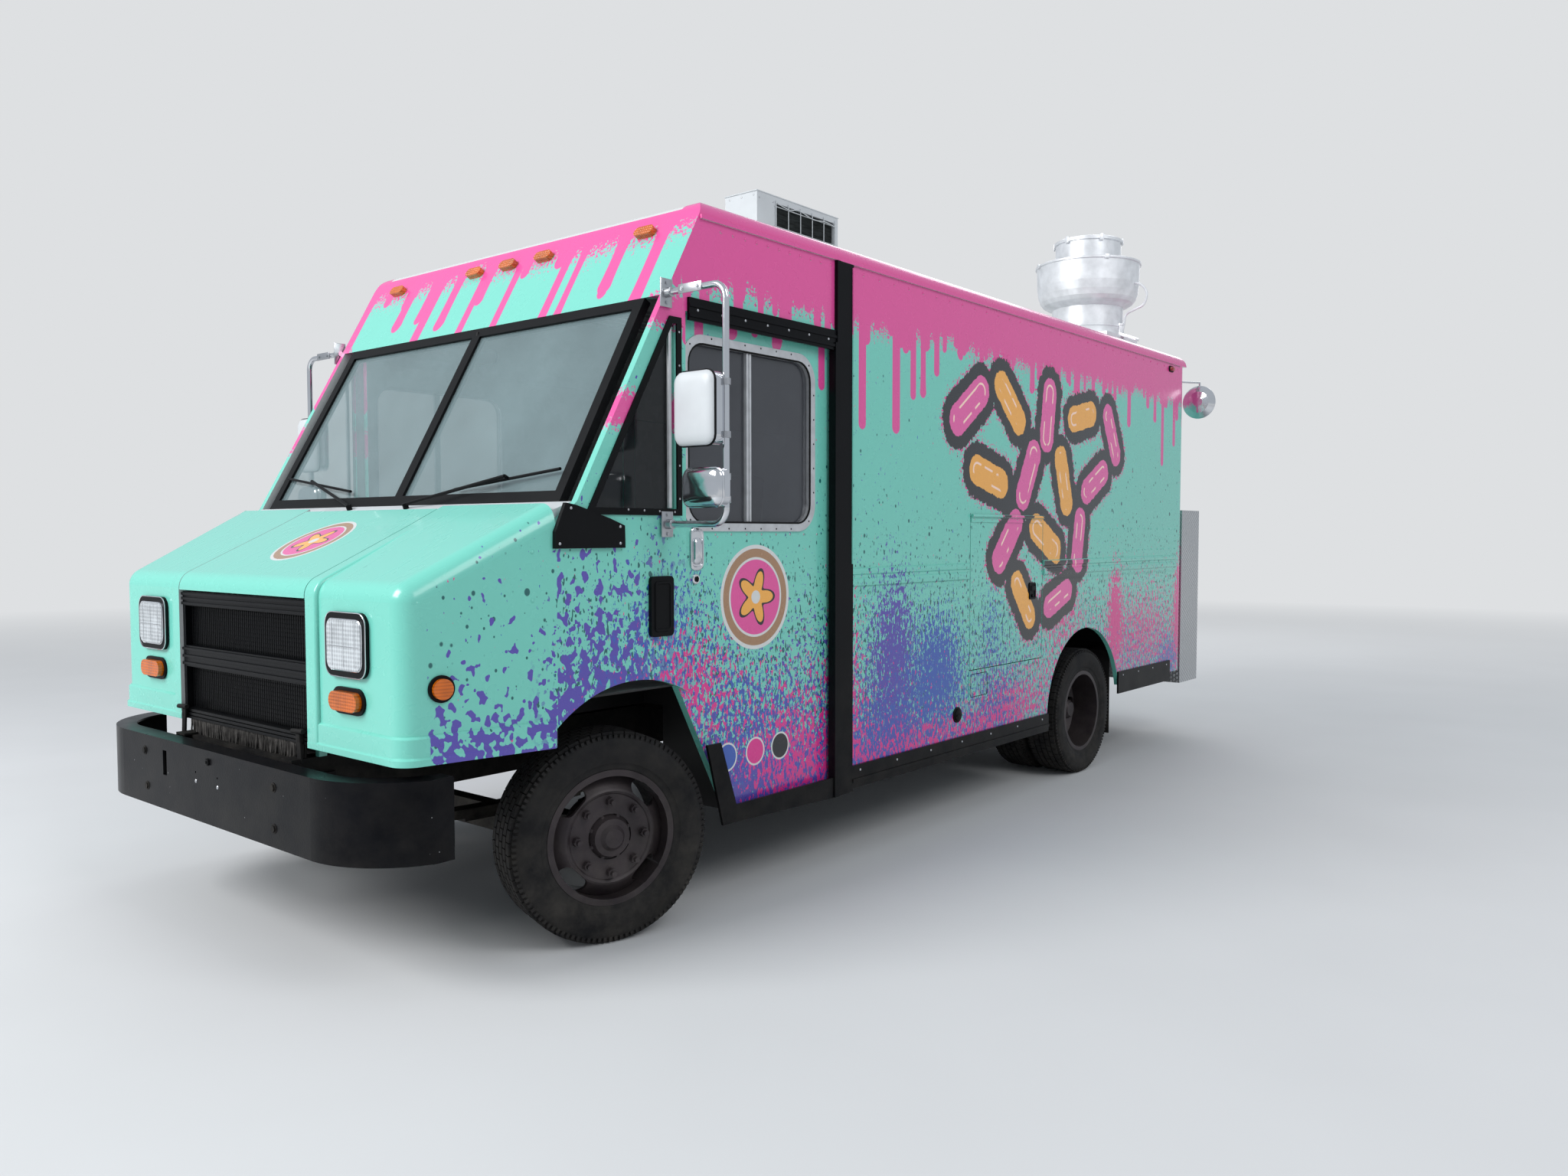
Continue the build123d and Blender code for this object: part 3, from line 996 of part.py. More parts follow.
# Cab furniture
SEAT_Y = (FRONT_AXLE_Y + 620, FRONT_AXLE_Y + 1050)
SEAT_Z = (FLOOR_Z + 320, FLOOR_Z + 440)
SEAT_HALF = 215
CUSHION_R = 25
with BuildPart() as backrest:
    side_prism([(SEAT_Y[1] - 90, SEAT_Z[1] - 60), (SEAT_Y[1] + 30, SEAT_Z[1] - 60),
                (SEAT_Y[1] + 110, SEAT_Z[1] + 520), (SEAT_Y[1] + 20, SEAT_Z[1] + 550)],
               (DRIVER_X - SEAT_HALF + 10, DRIVER_X + SEAT_HALF - 10))
    fillet(backrest.edges(), CUSHION_R)
with BuildPart() as seat:
    box((DRIVER_X - SEAT_HALF, DRIVER_X + SEAT_HALF), SEAT_Y, SEAT_Z)
    fillet(seat.edges(), CUSHION_R)
    add(backrest.part)
    box((DRIVER_X - 70, DRIVER_X + 70), (SEAT_Y[0] + 80, SEAT_Y[0] + 280), (FLOOR_Z, SEAT_Z[0]))
save(seat, "seat")

DASH_REAR_Y = CLIP_REAR_Y + 260
DASH_LOW_Z = 1340
COVER_T = 40
COVER_REAR_Y = FRONT_AXLE_Y + 150
with BuildPart() as dash:
    side_prism([(FIREWALL_Y, DASH_LOW_Z), (FIREWALL_Y, 1600), (DASH_REAR_Y - 90, 1620),
                (DASH_REAR_Y - 30, 1595), (DASH_REAR_Y, 1530), (DASH_REAR_Y, DASH_LOW_Z + 40),
                (DASH_REAR_Y - 50, DASH_LOW_Z)], (-WALL_IN + 5, WALL_IN - 5))
    box((-COVER_HALF, COVER_HALF), (FIREWALL_Y, COVER_REAR_Y), (FLOOR_Z, COVER_HIGH_Z))
    box((-COVER_HALF + COVER_T, COVER_HALF - COVER_T), (FIREWALL_Y - 1, COVER_REAR_Y - 30),
        (FLOOR_Z - 1, COVER_HIGH_Z - COVER_T), Mode.SUBTRACT)
save(dash, "dash")

COLUMN_R = 20
with BuildPart() as steering_wheel:
    hub = (DRIVER_X, FRONT_AXLE_Y + 330, 1560)
    rod((DRIVER_X, DASH_REAR_Y + COLUMN_R / 4 + SEAT_GAP, 1450), hub, COLUMN_R)
    tilt = Plane(origin=hub, x_dir=(1, 0, 0), z_dir=(0, 0.5, 0.866))
    with BuildSketch(tilt.offset(-5)) as spokes:
        Circle(45)
        with PolarLocations(105, 3, start_angle=90):
            Rectangle(200, 22)
    extrude(spokes.sketch, amount=10)
    with BuildSketch(Plane(origin=hub, x_dir=(1, 0, 0), z_dir=tilt.y_dir)) as grip:
        with Locations((210, 0)):
            Circle(14)
    revolve(grip.sketch, axis=Axis(hub, tilt.z_dir))
save(steering_wheel, "steering_wheel")

# Wipers: two arms parked outward along the foot of the glass, each with its blade
WIPER_Y = GLASS_LOW_Y - 40
WIPER_R = 7
WIPERS = ((-281, (-742, 128), (-1034, 165), (-388, 75)), (157, (730, 103), (408, 64), (1020, 136)))
COWL_SLOPE = (GLASS_LOW_Z - COWL_TOP_Z + 5) / (GLASS_LOW_Y - CLIP_REAR_Y - 5)
COWL_NORMAL = Vector(0, -COWL_SLOPE, 1).normalized()
with BuildPart() as wipers:
    for pivot_x, tip, blade_a, blade_b in WIPERS:
        cowl_point = Vector(pivot_x, WIPER_Y, GLASS_LOW_Z + (WIPER_Y - GLASS_LOW_Y) * COWL_SLOPE)
        foot = cowl_point + COWL_NORMAL * SEAT_GAP
        elbow = foot + COWL_NORMAL * 24
        over = GLASS_PLANE.from_local_coords((*tip, 30))
        mid, start, end = [GLASS_PLANE.from_local_coords((*place, 10)) for place in (tip, blade_a, blade_b)]
        rod(tuple(foot), tuple(elbow), 12)
        rod(tuple(elbow - COWL_NORMAL * 5), tuple(over), WIPER_R)
        rod(tuple(mid), tuple(over), WIPER_R)
        rod(tuple(start), tuple(end), WIPER_R - 1)
save(wipers, "wipers")

# Fuel tank outside the right rail
TANK_Y = (REAR_AXLE_Y - 2400, REAR_AXLE_Y - 1500)
TANK_IN = RAIL_X + 50
with BuildPart() as fuel_tank:
    box((-TANK_IN, -OUTRIGGER_X), TANK_Y, (430, RAIL_HIGH_Z))
    for y in (TANK_Y[0] + 100, TANK_Y[1] - 150):
        box((-RAIL_OUTER, -TANK_IN), (y, y + 50), (600, 700))
save(fuel_tank, "fuel_tank")

# Front wheels, steered to the right: knuckle, disc wheel and tyre on each side
TIRE_HALF = TIRE_W / 2
TIRE_SHOULDER = [(TIRE_HALF, 335), (TIRE_HALF - 4, 372), (92, TIRE_R - 6), (70, TIRE_R)]
TIRE_PROFILE = [(88, BEAD_R + SEAT_GAP), (88, FLANGE_R + 2), *TIRE_SHOULDER]
TIRE_PROFILE += [(-along, radius) for along, radius in reversed(TIRE_PROFILE)]
RIM_HALF = 97
RIM_PROFILE = [(-RIM_HALF, 236), (-RIM_HALF, FLANGE_R), (-RIM_HALF + 8, FLANGE_R), (-RIM_HALF + 8, BEAD_R),
               (RIM_HALF - 8, BEAD_R), (RIM_HALF - 8, FLANGE_R), (RIM_HALF, FLANGE_R), (RIM_HALF, 236)]
HAND_HOLES = 4
HAND_HOLE_R = 207
STUD_R = 10
NUT_R = 18
NUT_TALL = 24


def wheel_disc(plane, face, turn):
    """The disc from the rim barrel to the hub, with its hand holes, nuts and studs."""
    turned([(face - 10, 88), (face - 10, 180), (face - 54, 238), (face - 42, 243), (face + 4, 184),
            (face + 8, 176), (face + 4, 167), (face, 163), (face, 88)], plane)
    outside = Plane(origin=plane.from_local_coords((face, 0, 0)), x_dir=(0, 0, 1), z_dir=plane.x_dir)
    with BuildSketch(outside.offset(-90)) as holes:
        with PolarLocations(HAND_HOLE_R, HAND_HOLES, start_angle=turn):
            SlotOverall(124, 56, rotation=90)
    extrude(holes.sketch, amount=120, mode=Mode.SUBTRACT)
    with BuildSketch(outside) as nuts:
        with PolarLocations(STUD_CIRCLE_R, STUDS, start_angle=turn):
            RegularPolygon(NUT_R, 6)
    extrude(nuts.sketch, amount=NUT_TALL)
    with BuildSketch(outside) as studs:
        with PolarLocations(STUD_CIRCLE_R, STUDS, start_angle=turn):
            Circle(STUD_R)
    extrude(studs.sketch, amount=NUT_TALL + 16)


def steered(offset, side):
    """A point at offset outboard of the kingpin on the turned front wheel's axle, at axle height."""
    angle = radians(-STEER)
    across = side * (KINGPIN_X + offset * cos(angle))
    return Vector(across, FRONT_AXLE_Y + side * offset * sin(angle), AXLE_Z)


for side, tag in SIDES:
    outboard = (steered(1, side) - steered(0, side)).normalized()
    plane = axle_plane(steered(KINGPIN_OFFSET, side), tuple(outboard))
    with BuildPart() as tire:
        turned(TIRE_PROFILE, plane)
    save(tire, f"front_tire_{tag}")
    with BuildPart() as rim:
        turned(RIM_PROFILE, plane)
        wheel_disc(plane, 75, 45)
        turned([(-40, SPINDLE_R + SEAT_GAP), (-40, 150), (-15, 150), (-15, 110), (45, 110), (45, 160),
                (66, 160), (66, 84), (98, 72), (100, 50), (116, 36), (116, 0), (62, 0),
                (62, SPINDLE_R + SEAT_GAP)], plane)
    save(rim, f"front_rim_{tag}")
    with BuildPart() as knuckle:
        turned([(-88, 0), (-88, 45), (-62, 45), (-62, 120), (-52, 120), (-52, SPINDLE_R), (60, SPINDLE_R),
                (60, 0)], plane)
        for z in ((BOSS_LOW_Z - 45, BOSS_LOW_Z - SEAT_GAP), (BOSS_HIGH_Z + SEAT_GAP, BOSS_HIGH_Z + 45)):
            pin = steered(0, side)
            rod((pin.X, pin.Y, z[0]), (pin.X, pin.Y, z[1]), BOSS_R)
            ear = Plane(origin=(pin.X, pin.Y, z[0]), x_dir=outboard, z_dir=(0, 0, 1))
            with BuildSketch(ear) as arm:
                with Locations((40, 0)):
                    Rectangle(80, 60)
            extrude(arm.sketch, amount=z[1] - z[0])
        rod((pin.X, pin.Y, BOSS_LOW_Z - 45), (pin.X, pin.Y, BOSS_HIGH_Z + 45), KINGPIN_R)
        web = Plane(origin=(pin.X, pin.Y, BOSS_LOW_Z - 45), x_dir=outboard, z_dir=(0, 0, 1))
        with BuildSketch(web) as post:
            with Locations((65, 0)):
                Rectangle(26, 60)
        extrude(post.sketch, amount=BOSS_HIGH_Z - BOSS_LOW_Z + 90)
    save(knuckle, f"knuckle_{tag}")

# Rear wheels: two tyres and two dished discs on one hub, each side
for side, tag in SIDES:
    with BuildPart() as tires:
        for x in (REAR_WHEEL_X, REAR_WHEEL_X - DUAL_SPACING):
            turned(TIRE_PROFILE, axle_plane((side * x, REAR_AXLE_Y, AXLE_Z), (side, 0, 0)))
    save(tires, f"rear_tires_{tag}")
    middle = REAR_WHEEL_X - DUAL_SPACING / 2
    hub_plane = axle_plane((side * middle, REAR_AXLE_Y, AXLE_Z), (side, 0, 0))
    with BuildPart() as rims:
        for x in (REAR_WHEEL_X, REAR_WHEEL_X - DUAL_SPACING):
            turned(RIM_PROFILE, axle_plane((side * x, REAR_AXLE_Y, AXLE_Z), (side, 0, 0)))
        turned([(-12, 88), (-12, 185), (-60, 238), (-50, 244), (0, 190), (50, 244), (60, 238), (12, 185),
                (12, 88)], hub_plane)
        face_middle = hub_plane.from_local_coords((12, 0, 0))
        rear_face = Plane(origin=face_middle, x_dir=(0, 0, 1), z_dir=hub_plane.x_dir)
        with BuildSketch(rear_face.offset(-90)) as holes:
            with PolarLocations(HAND_HOLE_R + 6, HAND_HOLES):
                SlotOverall(100, 40, rotation=90)
        extrude(holes.sketch, amount=180, mode=Mode.SUBTRACT)
        with BuildSketch(rear_face) as nuts:
            with PolarLocations(STUD_CIRCLE_R, STUDS):
                RegularPolygon(NUT_R, 6)
        extrude(nuts.sketch, amount=NUT_TALL + 2)
        turned([(-190, 60), (-190, 150), (-11, 150), (-11, 89), (60, 80), (135, 60), (150, 45), (150, 0),
                (131, 0), (131, SPINDLE_R + SEAT_GAP), (-10, SPINDLE_R + SEAT_GAP), (-60, 60)], hub_plane)
    save(rims, f"rear_rims_{tag}")

print("pieces written:", len(os.listdir("parts")))
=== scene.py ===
# %% [markdown]
# # A food truck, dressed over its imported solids
#
# The solids of the van arrive at their true size and place. This notebook gives them their looks:
# the paint with its drips and splatter, the glass and chrome, the tread of the tyres, the wire of
# the grille, the rivets along the seams, and the small fittings that a solid model leaves out.
# All lengths are metres, +X is the van's left side and -Y its front.

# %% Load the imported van
import json
import math

import bmesh
import bpy
from mathutils import Matrix, Vector


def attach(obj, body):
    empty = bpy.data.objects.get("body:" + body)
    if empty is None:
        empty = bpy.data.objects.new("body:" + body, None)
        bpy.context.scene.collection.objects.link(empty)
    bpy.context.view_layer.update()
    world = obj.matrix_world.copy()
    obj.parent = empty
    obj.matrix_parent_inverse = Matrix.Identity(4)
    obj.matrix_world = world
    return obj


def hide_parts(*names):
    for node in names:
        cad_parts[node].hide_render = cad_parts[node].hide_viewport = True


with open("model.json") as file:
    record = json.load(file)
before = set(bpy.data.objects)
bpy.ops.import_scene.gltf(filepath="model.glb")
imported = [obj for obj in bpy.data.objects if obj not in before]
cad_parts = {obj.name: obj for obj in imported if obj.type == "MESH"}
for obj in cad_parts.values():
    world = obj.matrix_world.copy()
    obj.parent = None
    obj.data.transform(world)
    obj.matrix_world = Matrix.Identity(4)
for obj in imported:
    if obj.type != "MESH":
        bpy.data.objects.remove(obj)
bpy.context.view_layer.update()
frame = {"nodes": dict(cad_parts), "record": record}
NODES = frame["nodes"]

# %% [markdown]
# ## The camera
#
# The photograph was taken from the left front corner with a wide lens. The camera's place was
# worked out from the van itself: the wheels, the lamps and the long level lines of the body. The
# lens's angle is written as a focal length on a 36 mm sensor, which is how photographers name it.

# %% Camera
CAMERA_PLACE = Vector((4.355, -5.495, 1.566))
CAMERA_HEADING = math.radians(39.304)
CAMERA_PITCH = math.radians(-2.759)
LENS_MM = 26.19

camera_data = bpy.data.cameras.new("photo_camera")
camera_data.sensor_width = 36
camera_data.lens = LENS_MM
camera = bpy.data.objects.new("photo_camera", camera_data)
camera.location = CAMERA_PLACE
camera.rotation_euler = (math.pi / 2 + CAMERA_PITCH, 0, CAMERA_HEADING)
bpy.context.scene.collection.objects.link(camera)
bpy.context.scene.camera = camera
bpy.context.scene.view_settings.view_transform = "Standard"

# %% [markdown]
# ## A pattern written as arithmetic
#
# A painted pattern is a formula over the surface, and in Blender a formula is a web of Math nodes.
# A small class hides the web: adding or comparing two fields makes the node and links it, so that
# a drip or a spot can be written in one readable line.

# %% Fields for materials
class Field:
    """A value inside a material, which answers to + - * / and to named math operations."""

    def __init__(self, tree, value):
        self.tree = tree
        self.value = value

    def plug(self, socket):
        """Give this field to a node's input."""
        if isinstance(self.value, (int, float)):
            socket.default_value = self.value
        else:
            self.tree.links.new(self.value, socket)

    def math(self, operation, *others, clamp=False):
        node = self.tree.nodes.new("ShaderNodeMath")
        node.operation = operation
        node.use_clamp = clamp
        for socket, item in zip(node.inputs, (self, *others)):
            field = item if isinstance(item, Field) else Field(self.tree, float(item))
            field.plug(socket)
        return Field(self.tree, node.outputs[0])

    def __add__(self, other):
        return self.math("ADD", other)

    def __sub__(self, other):
        return self.math("SUBTRACT", other)

    def __mul__(self, other):
        return self.math("MULTIPLY", other)

    def __truediv__(self, other):
        return self.math("DIVIDE", other)

    def below(self, limit, soft=0.0005):
        """1 where the field is under the limit, 0 above it, with an edge as wide as soft."""
        scaled = (Field(self.tree, float(limit)) if not isinstance(limit, Field) else limit) - self
        return (scaled / soft + 0.5).math("MINIMUM", 1.0).math("MAXIMUM", 0.0)

    def above(self, limit, soft=0.0005):
        return self.below(limit, soft).math("MULTIPLY_ADD", -1.0, 1.0)

    def between(self, low, high, soft=0.0005):
        return self.above(low, soft) * self.below(high, soft)

    def ramp(self, low, high):
        """0 at low and under, 1 at high and over, straight between."""
        node = self.tree.nodes.new("ShaderNodeMapRange")
        self.plug(node.inputs["Value"])
        node.inputs["From Min"].default_value = low
        node.inputs["From Max"].default_value = high
        return Field(self.tree, node.outputs[0])

    def abs(self):
        return self.math("ABSOLUTE")

    def min(self, other):
        return self.math("MINIMUM", other)

    def max(self, other):
        return self.math("MAXIMUM", other)


def join(tree, x, y, z=0.0):
    """Three fields as one vector."""
    node = tree.nodes.new("ShaderNodeCombineXYZ")
    for socket, item in zip(node.inputs, (x, y, z)):
        (item if isinstance(item, Field) else Field(tree, float(item))).plug(socket)
    return node.outputs[0]


def noise(tree, place, scale, detail=2.0, roughness=0.5, seed=0.0):
    """Soft noise from about 0.2 to 0.8 at a place."""
    node = tree.nodes.new("ShaderNodeTexNoise")
    node.noise_dimensions = "4D"
    tree.links.new(place, node.inputs["Vector"])
    node.inputs["W"].default_value = seed
    node.inputs["Scale"].default_value = scale
    node.inputs["Detail"].default_value = detail
    node.inputs["Roughness"].default_value = roughness
    return Field(tree, node.outputs["Fac"])


def chance(tree, whole_number, seed):
    """A number from 0 to 1 that belongs to each whole number, as a throw of dice."""
    node = tree.nodes.new("ShaderNodeTexWhiteNoise")
    node.noise_dimensions = "2D"
    tree.links.new(join(tree, whole_number, seed), node.inputs["Vector"])
    return Field(tree, node.outputs["Value"])


def blend_color(tree, share, under, over):
    """One colour over another, by a field from 0 to 1."""
    node = tree.nodes.new("ShaderNodeMix")
    node.data_type = "RGBA"
    share.plug(node.inputs["Factor"])
    for name, color in (("A", under), ("B", over)):
        socket = [s for s in node.inputs if s.name == name and s.type == "RGBA"][0]
        if isinstance(color, tuple):
            socket.default_value = (*color, 1.0)
        else:
            tree.links.new(color, socket)
    return [s for s in node.outputs if s.type == "RGBA"][0]


def srgb(red, green, blue):
    """A colour as a screen shows it, 0 to 255, turned into the linear light that Blender mixes."""
    def linear(value):
        share = value / 255
        return share / 12.92 if share <= 0.04045 else ((share + 0.055) / 1.055) ** 2.4
    return tuple(linear(v) for v in (red, green, blue))


# %% [markdown]
# ## Plain finishes
#
# Black trim, rubber, cast iron, galvanised sheet and chrome differ in colour, gloss and in the
# small unevenness that light picks out. One maker builds them all: a colour that wanders a
# little, a roughness that wanders with it, fine bump, and road dust that settles low on the van.

# %% Finish maker
DUST = srgb(150, 142, 130)


def new_finish(name):
    """An empty material with its shader, its tree and the place of the point on the object."""
    material = bpy.data.materials.new(name)
    material.use_nodes = True
    tree = material.node_tree
    shader = tree.nodes["Principled BSDF"]
    place = tree.nodes.new("ShaderNodeTexCoord").outputs["Object"]
    return material, tree, shader, place


def bump(tree, shader, height, distance, strength=0.5):
    """Let a field raise the surface in the light."""
    node = tree.nodes.new("ShaderNodeBump")
    node.inputs["Strength"].default_value = strength
    node.inputs["Distance"].default_value = distance
    height.plug(node.inputs["Height"])
    tree.links.new(node.outputs["Normal"], shader.inputs["Normal"])


def split(tree, place):
    """The x, y and z of a place as fields."""
    node = tree.nodes.new("ShaderNodeSeparateXYZ")
    tree.links.new(place, node.inputs[0])
    return [Field(tree, socket) for socket in node.outputs]


def finish(name, color, roughness=0.5, metallic=0.0, vary=0.12, vary_scale=6.0, grain=0.0, grain_scale=300.0,
           dust=0.0, coat=0.0, stretch=(1, 1, 1), shine=0.5):
    """A finish with wandering colour and gloss, a fine grain, and dust low on the van."""
    material, tree, shader, place = new_finish(name)
    mapping = tree.nodes.new("ShaderNodeMapping")
    mapping.inputs["Scale"].default_value = stretch
    tree.links.new(place, mapping.inputs["Vector"])
    drift = noise(tree, mapping.outputs[0], vary_scale, 4.0)
    darker = tuple(max(c * (1 - vary * 2), 0) for c in color)
    lighter = tuple(min(c * (1 + vary * 2), 1) for c in color)
    tint = blend_color(tree, drift.ramp(0.3, 0.7), darker, lighter)
    if dust:
        z = split(tree, place)[2]
        patches = noise(tree, place, 9.0, 6.0, 0.65, 3.0)
        settled = (patches.ramp(0.35, 0.75) * z.ramp(1.1, 0.2) * dust).math("MINIMUM", 1.0)
        tint = blend_color(tree, settled, tint, DUST)
    tree.links.new(tint, shader.inputs["Base Color"])
    (drift * 0.16 + (roughness - 0.08)).plug(shader.inputs["Roughness"])
    shader.inputs["Metallic"].default_value = metallic
    shader.inputs["Specular IOR Level"].default_value = shine
    shader.inputs["Coat Weight"].default_value = coat
    if grain:
        bump(tree, shader, noise(tree, mapping.outputs[0], grain_scale, 2.0), grain)
    return material


FINISH = {
    "black_paint": finish("black_paint", srgb(9, 10, 13), 0.34, vary=0.1, grain=0.0006, grain_scale=120,
                          dust=0.06, shine=0.10),
    "chassis_black": finish("chassis_black", srgb(12, 12, 13), 0.6, vary=0.3, grain=0.001, grain_scale=90,
                            dust=0.18, shine=0.14),
    "cast_black": finish("cast_black", srgb(22, 20, 20), 0.68, vary=0.35, grain=0.002, grain_scale=70,
                         dust=0.3, shine=0.25),
    "wheel_grey": finish("wheel_grey", srgb(48, 42, 45), 0.42, 0.25, vary=0.2, grain=0.0006, grain_scale=160,
                         dust=0.12, shine=0.3),
    "tire_rubber": finish("tire_rubber", srgb(18, 18, 20), 0.72, vary=0.2, grain=0.0006, grain_scale=220,
                          dust=0.12, shine=0.2),
    "red_lens": finish("red_lens", srgb(150, 16, 14), 0.2, vary=0.1, coat=0.4),
    "black_plastic": finish("black_plastic", srgb(10, 11, 13), 0.45, vary=0.12, grain=0.0004, grain_scale=500,
                            dust=0.03, shine=0.12),
    "rubber": finish("rubber", srgb(16, 16, 17), 0.75, vary=0.15, grain=0.0006, grain_scale=300, dust=0.12,
                     shine=0.2),
    "galvanised": finish("galvanised", srgb(224, 226, 229), 0.40, 0.4, vary=0.06, vary_scale=14),
    "aluminium": finish("aluminium", srgb(196, 198, 201), 0.38, 0.6, vary=0.06, vary_scale=20),
    "white_metal": finish("white_metal", srgb(194, 198, 201), 0.42, vary=0.03),
    "chrome": finish("chrome", srgb(212, 214, 218), 0.12, 1.0, vary=0.02),
    "seat_vinyl": finish("seat_vinyl", srgb(34, 35, 38), 0.55, vary=0.1, grain=0.0008, grain_scale=260,
                         shine=0.3),
    "steel": finish("steel", srgb(176, 178, 182), 0.3, 0.95, vary=0.05, vary_scale=3, stretch=(1, 14, 1)),
    "coil": finish("coil", srgb(62, 66, 66), 0.6, 0.3, vary=0.3, vary_scale=12, grain=0.002, grain_scale=60,
                   stretch=(1, 1, 8), shine=0.3),
    "bristle": finish("bristle", srgb(62, 60, 58), 0.9, vary=0.4, vary_scale=30, shine=0.2),
}


# %% Glass
def glass(name, color, alpha, painted_shade=None):
    """Tinted glass as a thin pane: mostly seen through, with painted shade darkening the panes outside the
    windshield if asked, for the dark cab behind them.
    """
    material, tree, shader, place = new_finish(name)
    streaks = noise(tree, place, 3.0, 3.0, 0.6)
    tint = blend_color(tree, streaks.ramp(0.3, 0.7), color, tuple(c * 0.8 for c in color))
    # Painted shade: the panes at the sides, outside the windshield, are darkened towards near black for the
    # unlit cab seen through them.
    if painted_shade:
        tint = blend_color(tree, split(tree, place)[0].abs().above(1.15, 0.01), tint, painted_shade)
    tree.links.new(tint, shader.inputs["Base Color"])
    (streaks * 0.04 + 0.01).plug(shader.inputs["Roughness"])
    shader.inputs["Alpha"].default_value = alpha
    shader.inputs["IOR"].default_value = 1.5
    shader.inputs["Coat Weight"].default_value = 0.6
    shader.inputs["Coat Roughness"].default_value = 0.02
    return material


# The windshield's pale green tint is partly the glass's own colour and partly a painted reflection of the bright
# sky; the near-black colour after it is the painted shade of the vent panes.
FINISH["clear_glass"] = glass("clear_glass", srgb(152, 176, 180), 0.34, srgb(14, 18, 22))
FINISH["side_glass"] = glass("side_glass", srgb(74, 76, 82), 0.60)


def ribbed_lens(name, color, across, metallic):
    """Moulded lamp glass: fine ribs run both ways and catch the light."""
    material, tree, shader, place = new_finish(name)
    x, y, z = split(tree, place)
    ribs = (x * across).math("SINE") * 0.5 + (z * across).math("SINE") * 0.5
    blotch = noise(tree, place, 14.0, 2.0)
    darker = tuple(c * 0.55 for c in color)
    tint = blend_color(tree, (ribs * 0.25 + blotch).ramp(0.25, 0.75), darker, color)
    tree.links.new(tint, shader.inputs["Base Color"])
    shader.inputs["Metallic"].default_value = metallic
    shader.inputs["Roughness"].default_value = 0.16
    shader.inputs["Coat Weight"].default_value = 0.3
    bump(tree, shader, ribs, 0.002, 0.6)
    return material


FINISH["lamp_lens"] = ribbed_lens("lamp_lens", srgb(212, 218, 222), 420.0, 0.25)
FINISH["amber_lens"] = ribbed_lens("amber_lens", srgb(214, 104, 4), 560.0, 0.0)

# %% [markdown]
# ## Body paint
#
# The van is mint, with pink poured over its roof edge and running down in drips, and splatter of
# purple, blue and hot pink that thickens towards the skirts. The pattern here is a design of its
# own. A drip is a cell along the wall with its own dice throws for width and length, and its end
# is round because the distance is measured to a point once the straight part ends. The big motif
# on the sides is a scatter of sprinkles with ragged black edges: each is a line segment, and the
# distance from the nearest one decides between filling, edge and spray.

# %% Paint colours
MINT = srgb(112, 198, 182)
PINK = srgb(218, 78, 150)
HOT_PINK = srgb(214, 46, 136)
PURPLE = srgb(82, 70, 164)
BLUE = srgb(52, 88, 172)
TEAL = srgb(22, 92, 92)
GOLD = srgb(236, 168, 72)
TAN = srgb(158, 122, 92)
INK = srgb(22, 24, 30)
SPRINKLE_PINK = srgb(222, 92, 160)
SPRINKLE_SHINE = srgb(250, 214, 196)
ROOF_WHITE = srgb(208, 210, 209)
LINER = srgb(196, 200, 200)

# %% Places of the pattern, in metres along the van (y) and up it (z)
POUR_Z = 2.60
HEADER_RISE = 0.215
POUR_WAVE = 0.16
DRIP_TOP_Z = 2.7
DRIP_CELL = 0.29
SPLASH_TOP_Z = 1.50
SPLASH_FOOT_Z = 0.55
CAB_REAR_Y = -1.9
CLIP_REAR_Y = -2.9
INNER_X = 1.02
MOTIF_REACH_Y = (-1.1, 2.6)
BADGE_REACH_Y = (-2.2, -1.3)
DOOR_BADGE = (-1.765, 1.29, 0.205)
HOOD_BADGE = (0.02, -3.16, 0.16)
DISC_Z, DISC_RADIUS, DISC_RIM = 0.62, 0.054, 0.008
DISCS = ((-1.95, BLUE), (-1.77, HOT_PINK), (-1.60, INK))

# Each sprinkle: middle (y, z), lean in degrees from level, half length, half width
PINK_SPRINKLES = [(-0.02, 2.26, 35, 0.15, 0.088), (0.92, 2.28, 82, 0.14, 0.088), (1.86, 2.22, -62, 0.14, 0.080),
                  (0.67, 1.91, 62, 0.14, 0.088), (1.60, 1.90, 28, 0.14, 0.084), (0.42, 1.52, 48, 0.14, 0.084),
                  (1.36, 1.52, 80, 0.13, 0.080), (1.08, 1.16, 20, 0.13, 0.074)]
GOLD_SPRINKLES = [(0.44, 2.31, -42, 0.14, 0.084), (1.40, 2.31, 12, 0.13, 0.082), (0.20, 1.88, -14, 0.14, 0.084),
                  (1.14, 1.89, -72, 0.14, 0.084), (0.90, 1.53, -28, 0.14, 0.088), (0.62, 1.17, -52, 0.13, 0.074)]
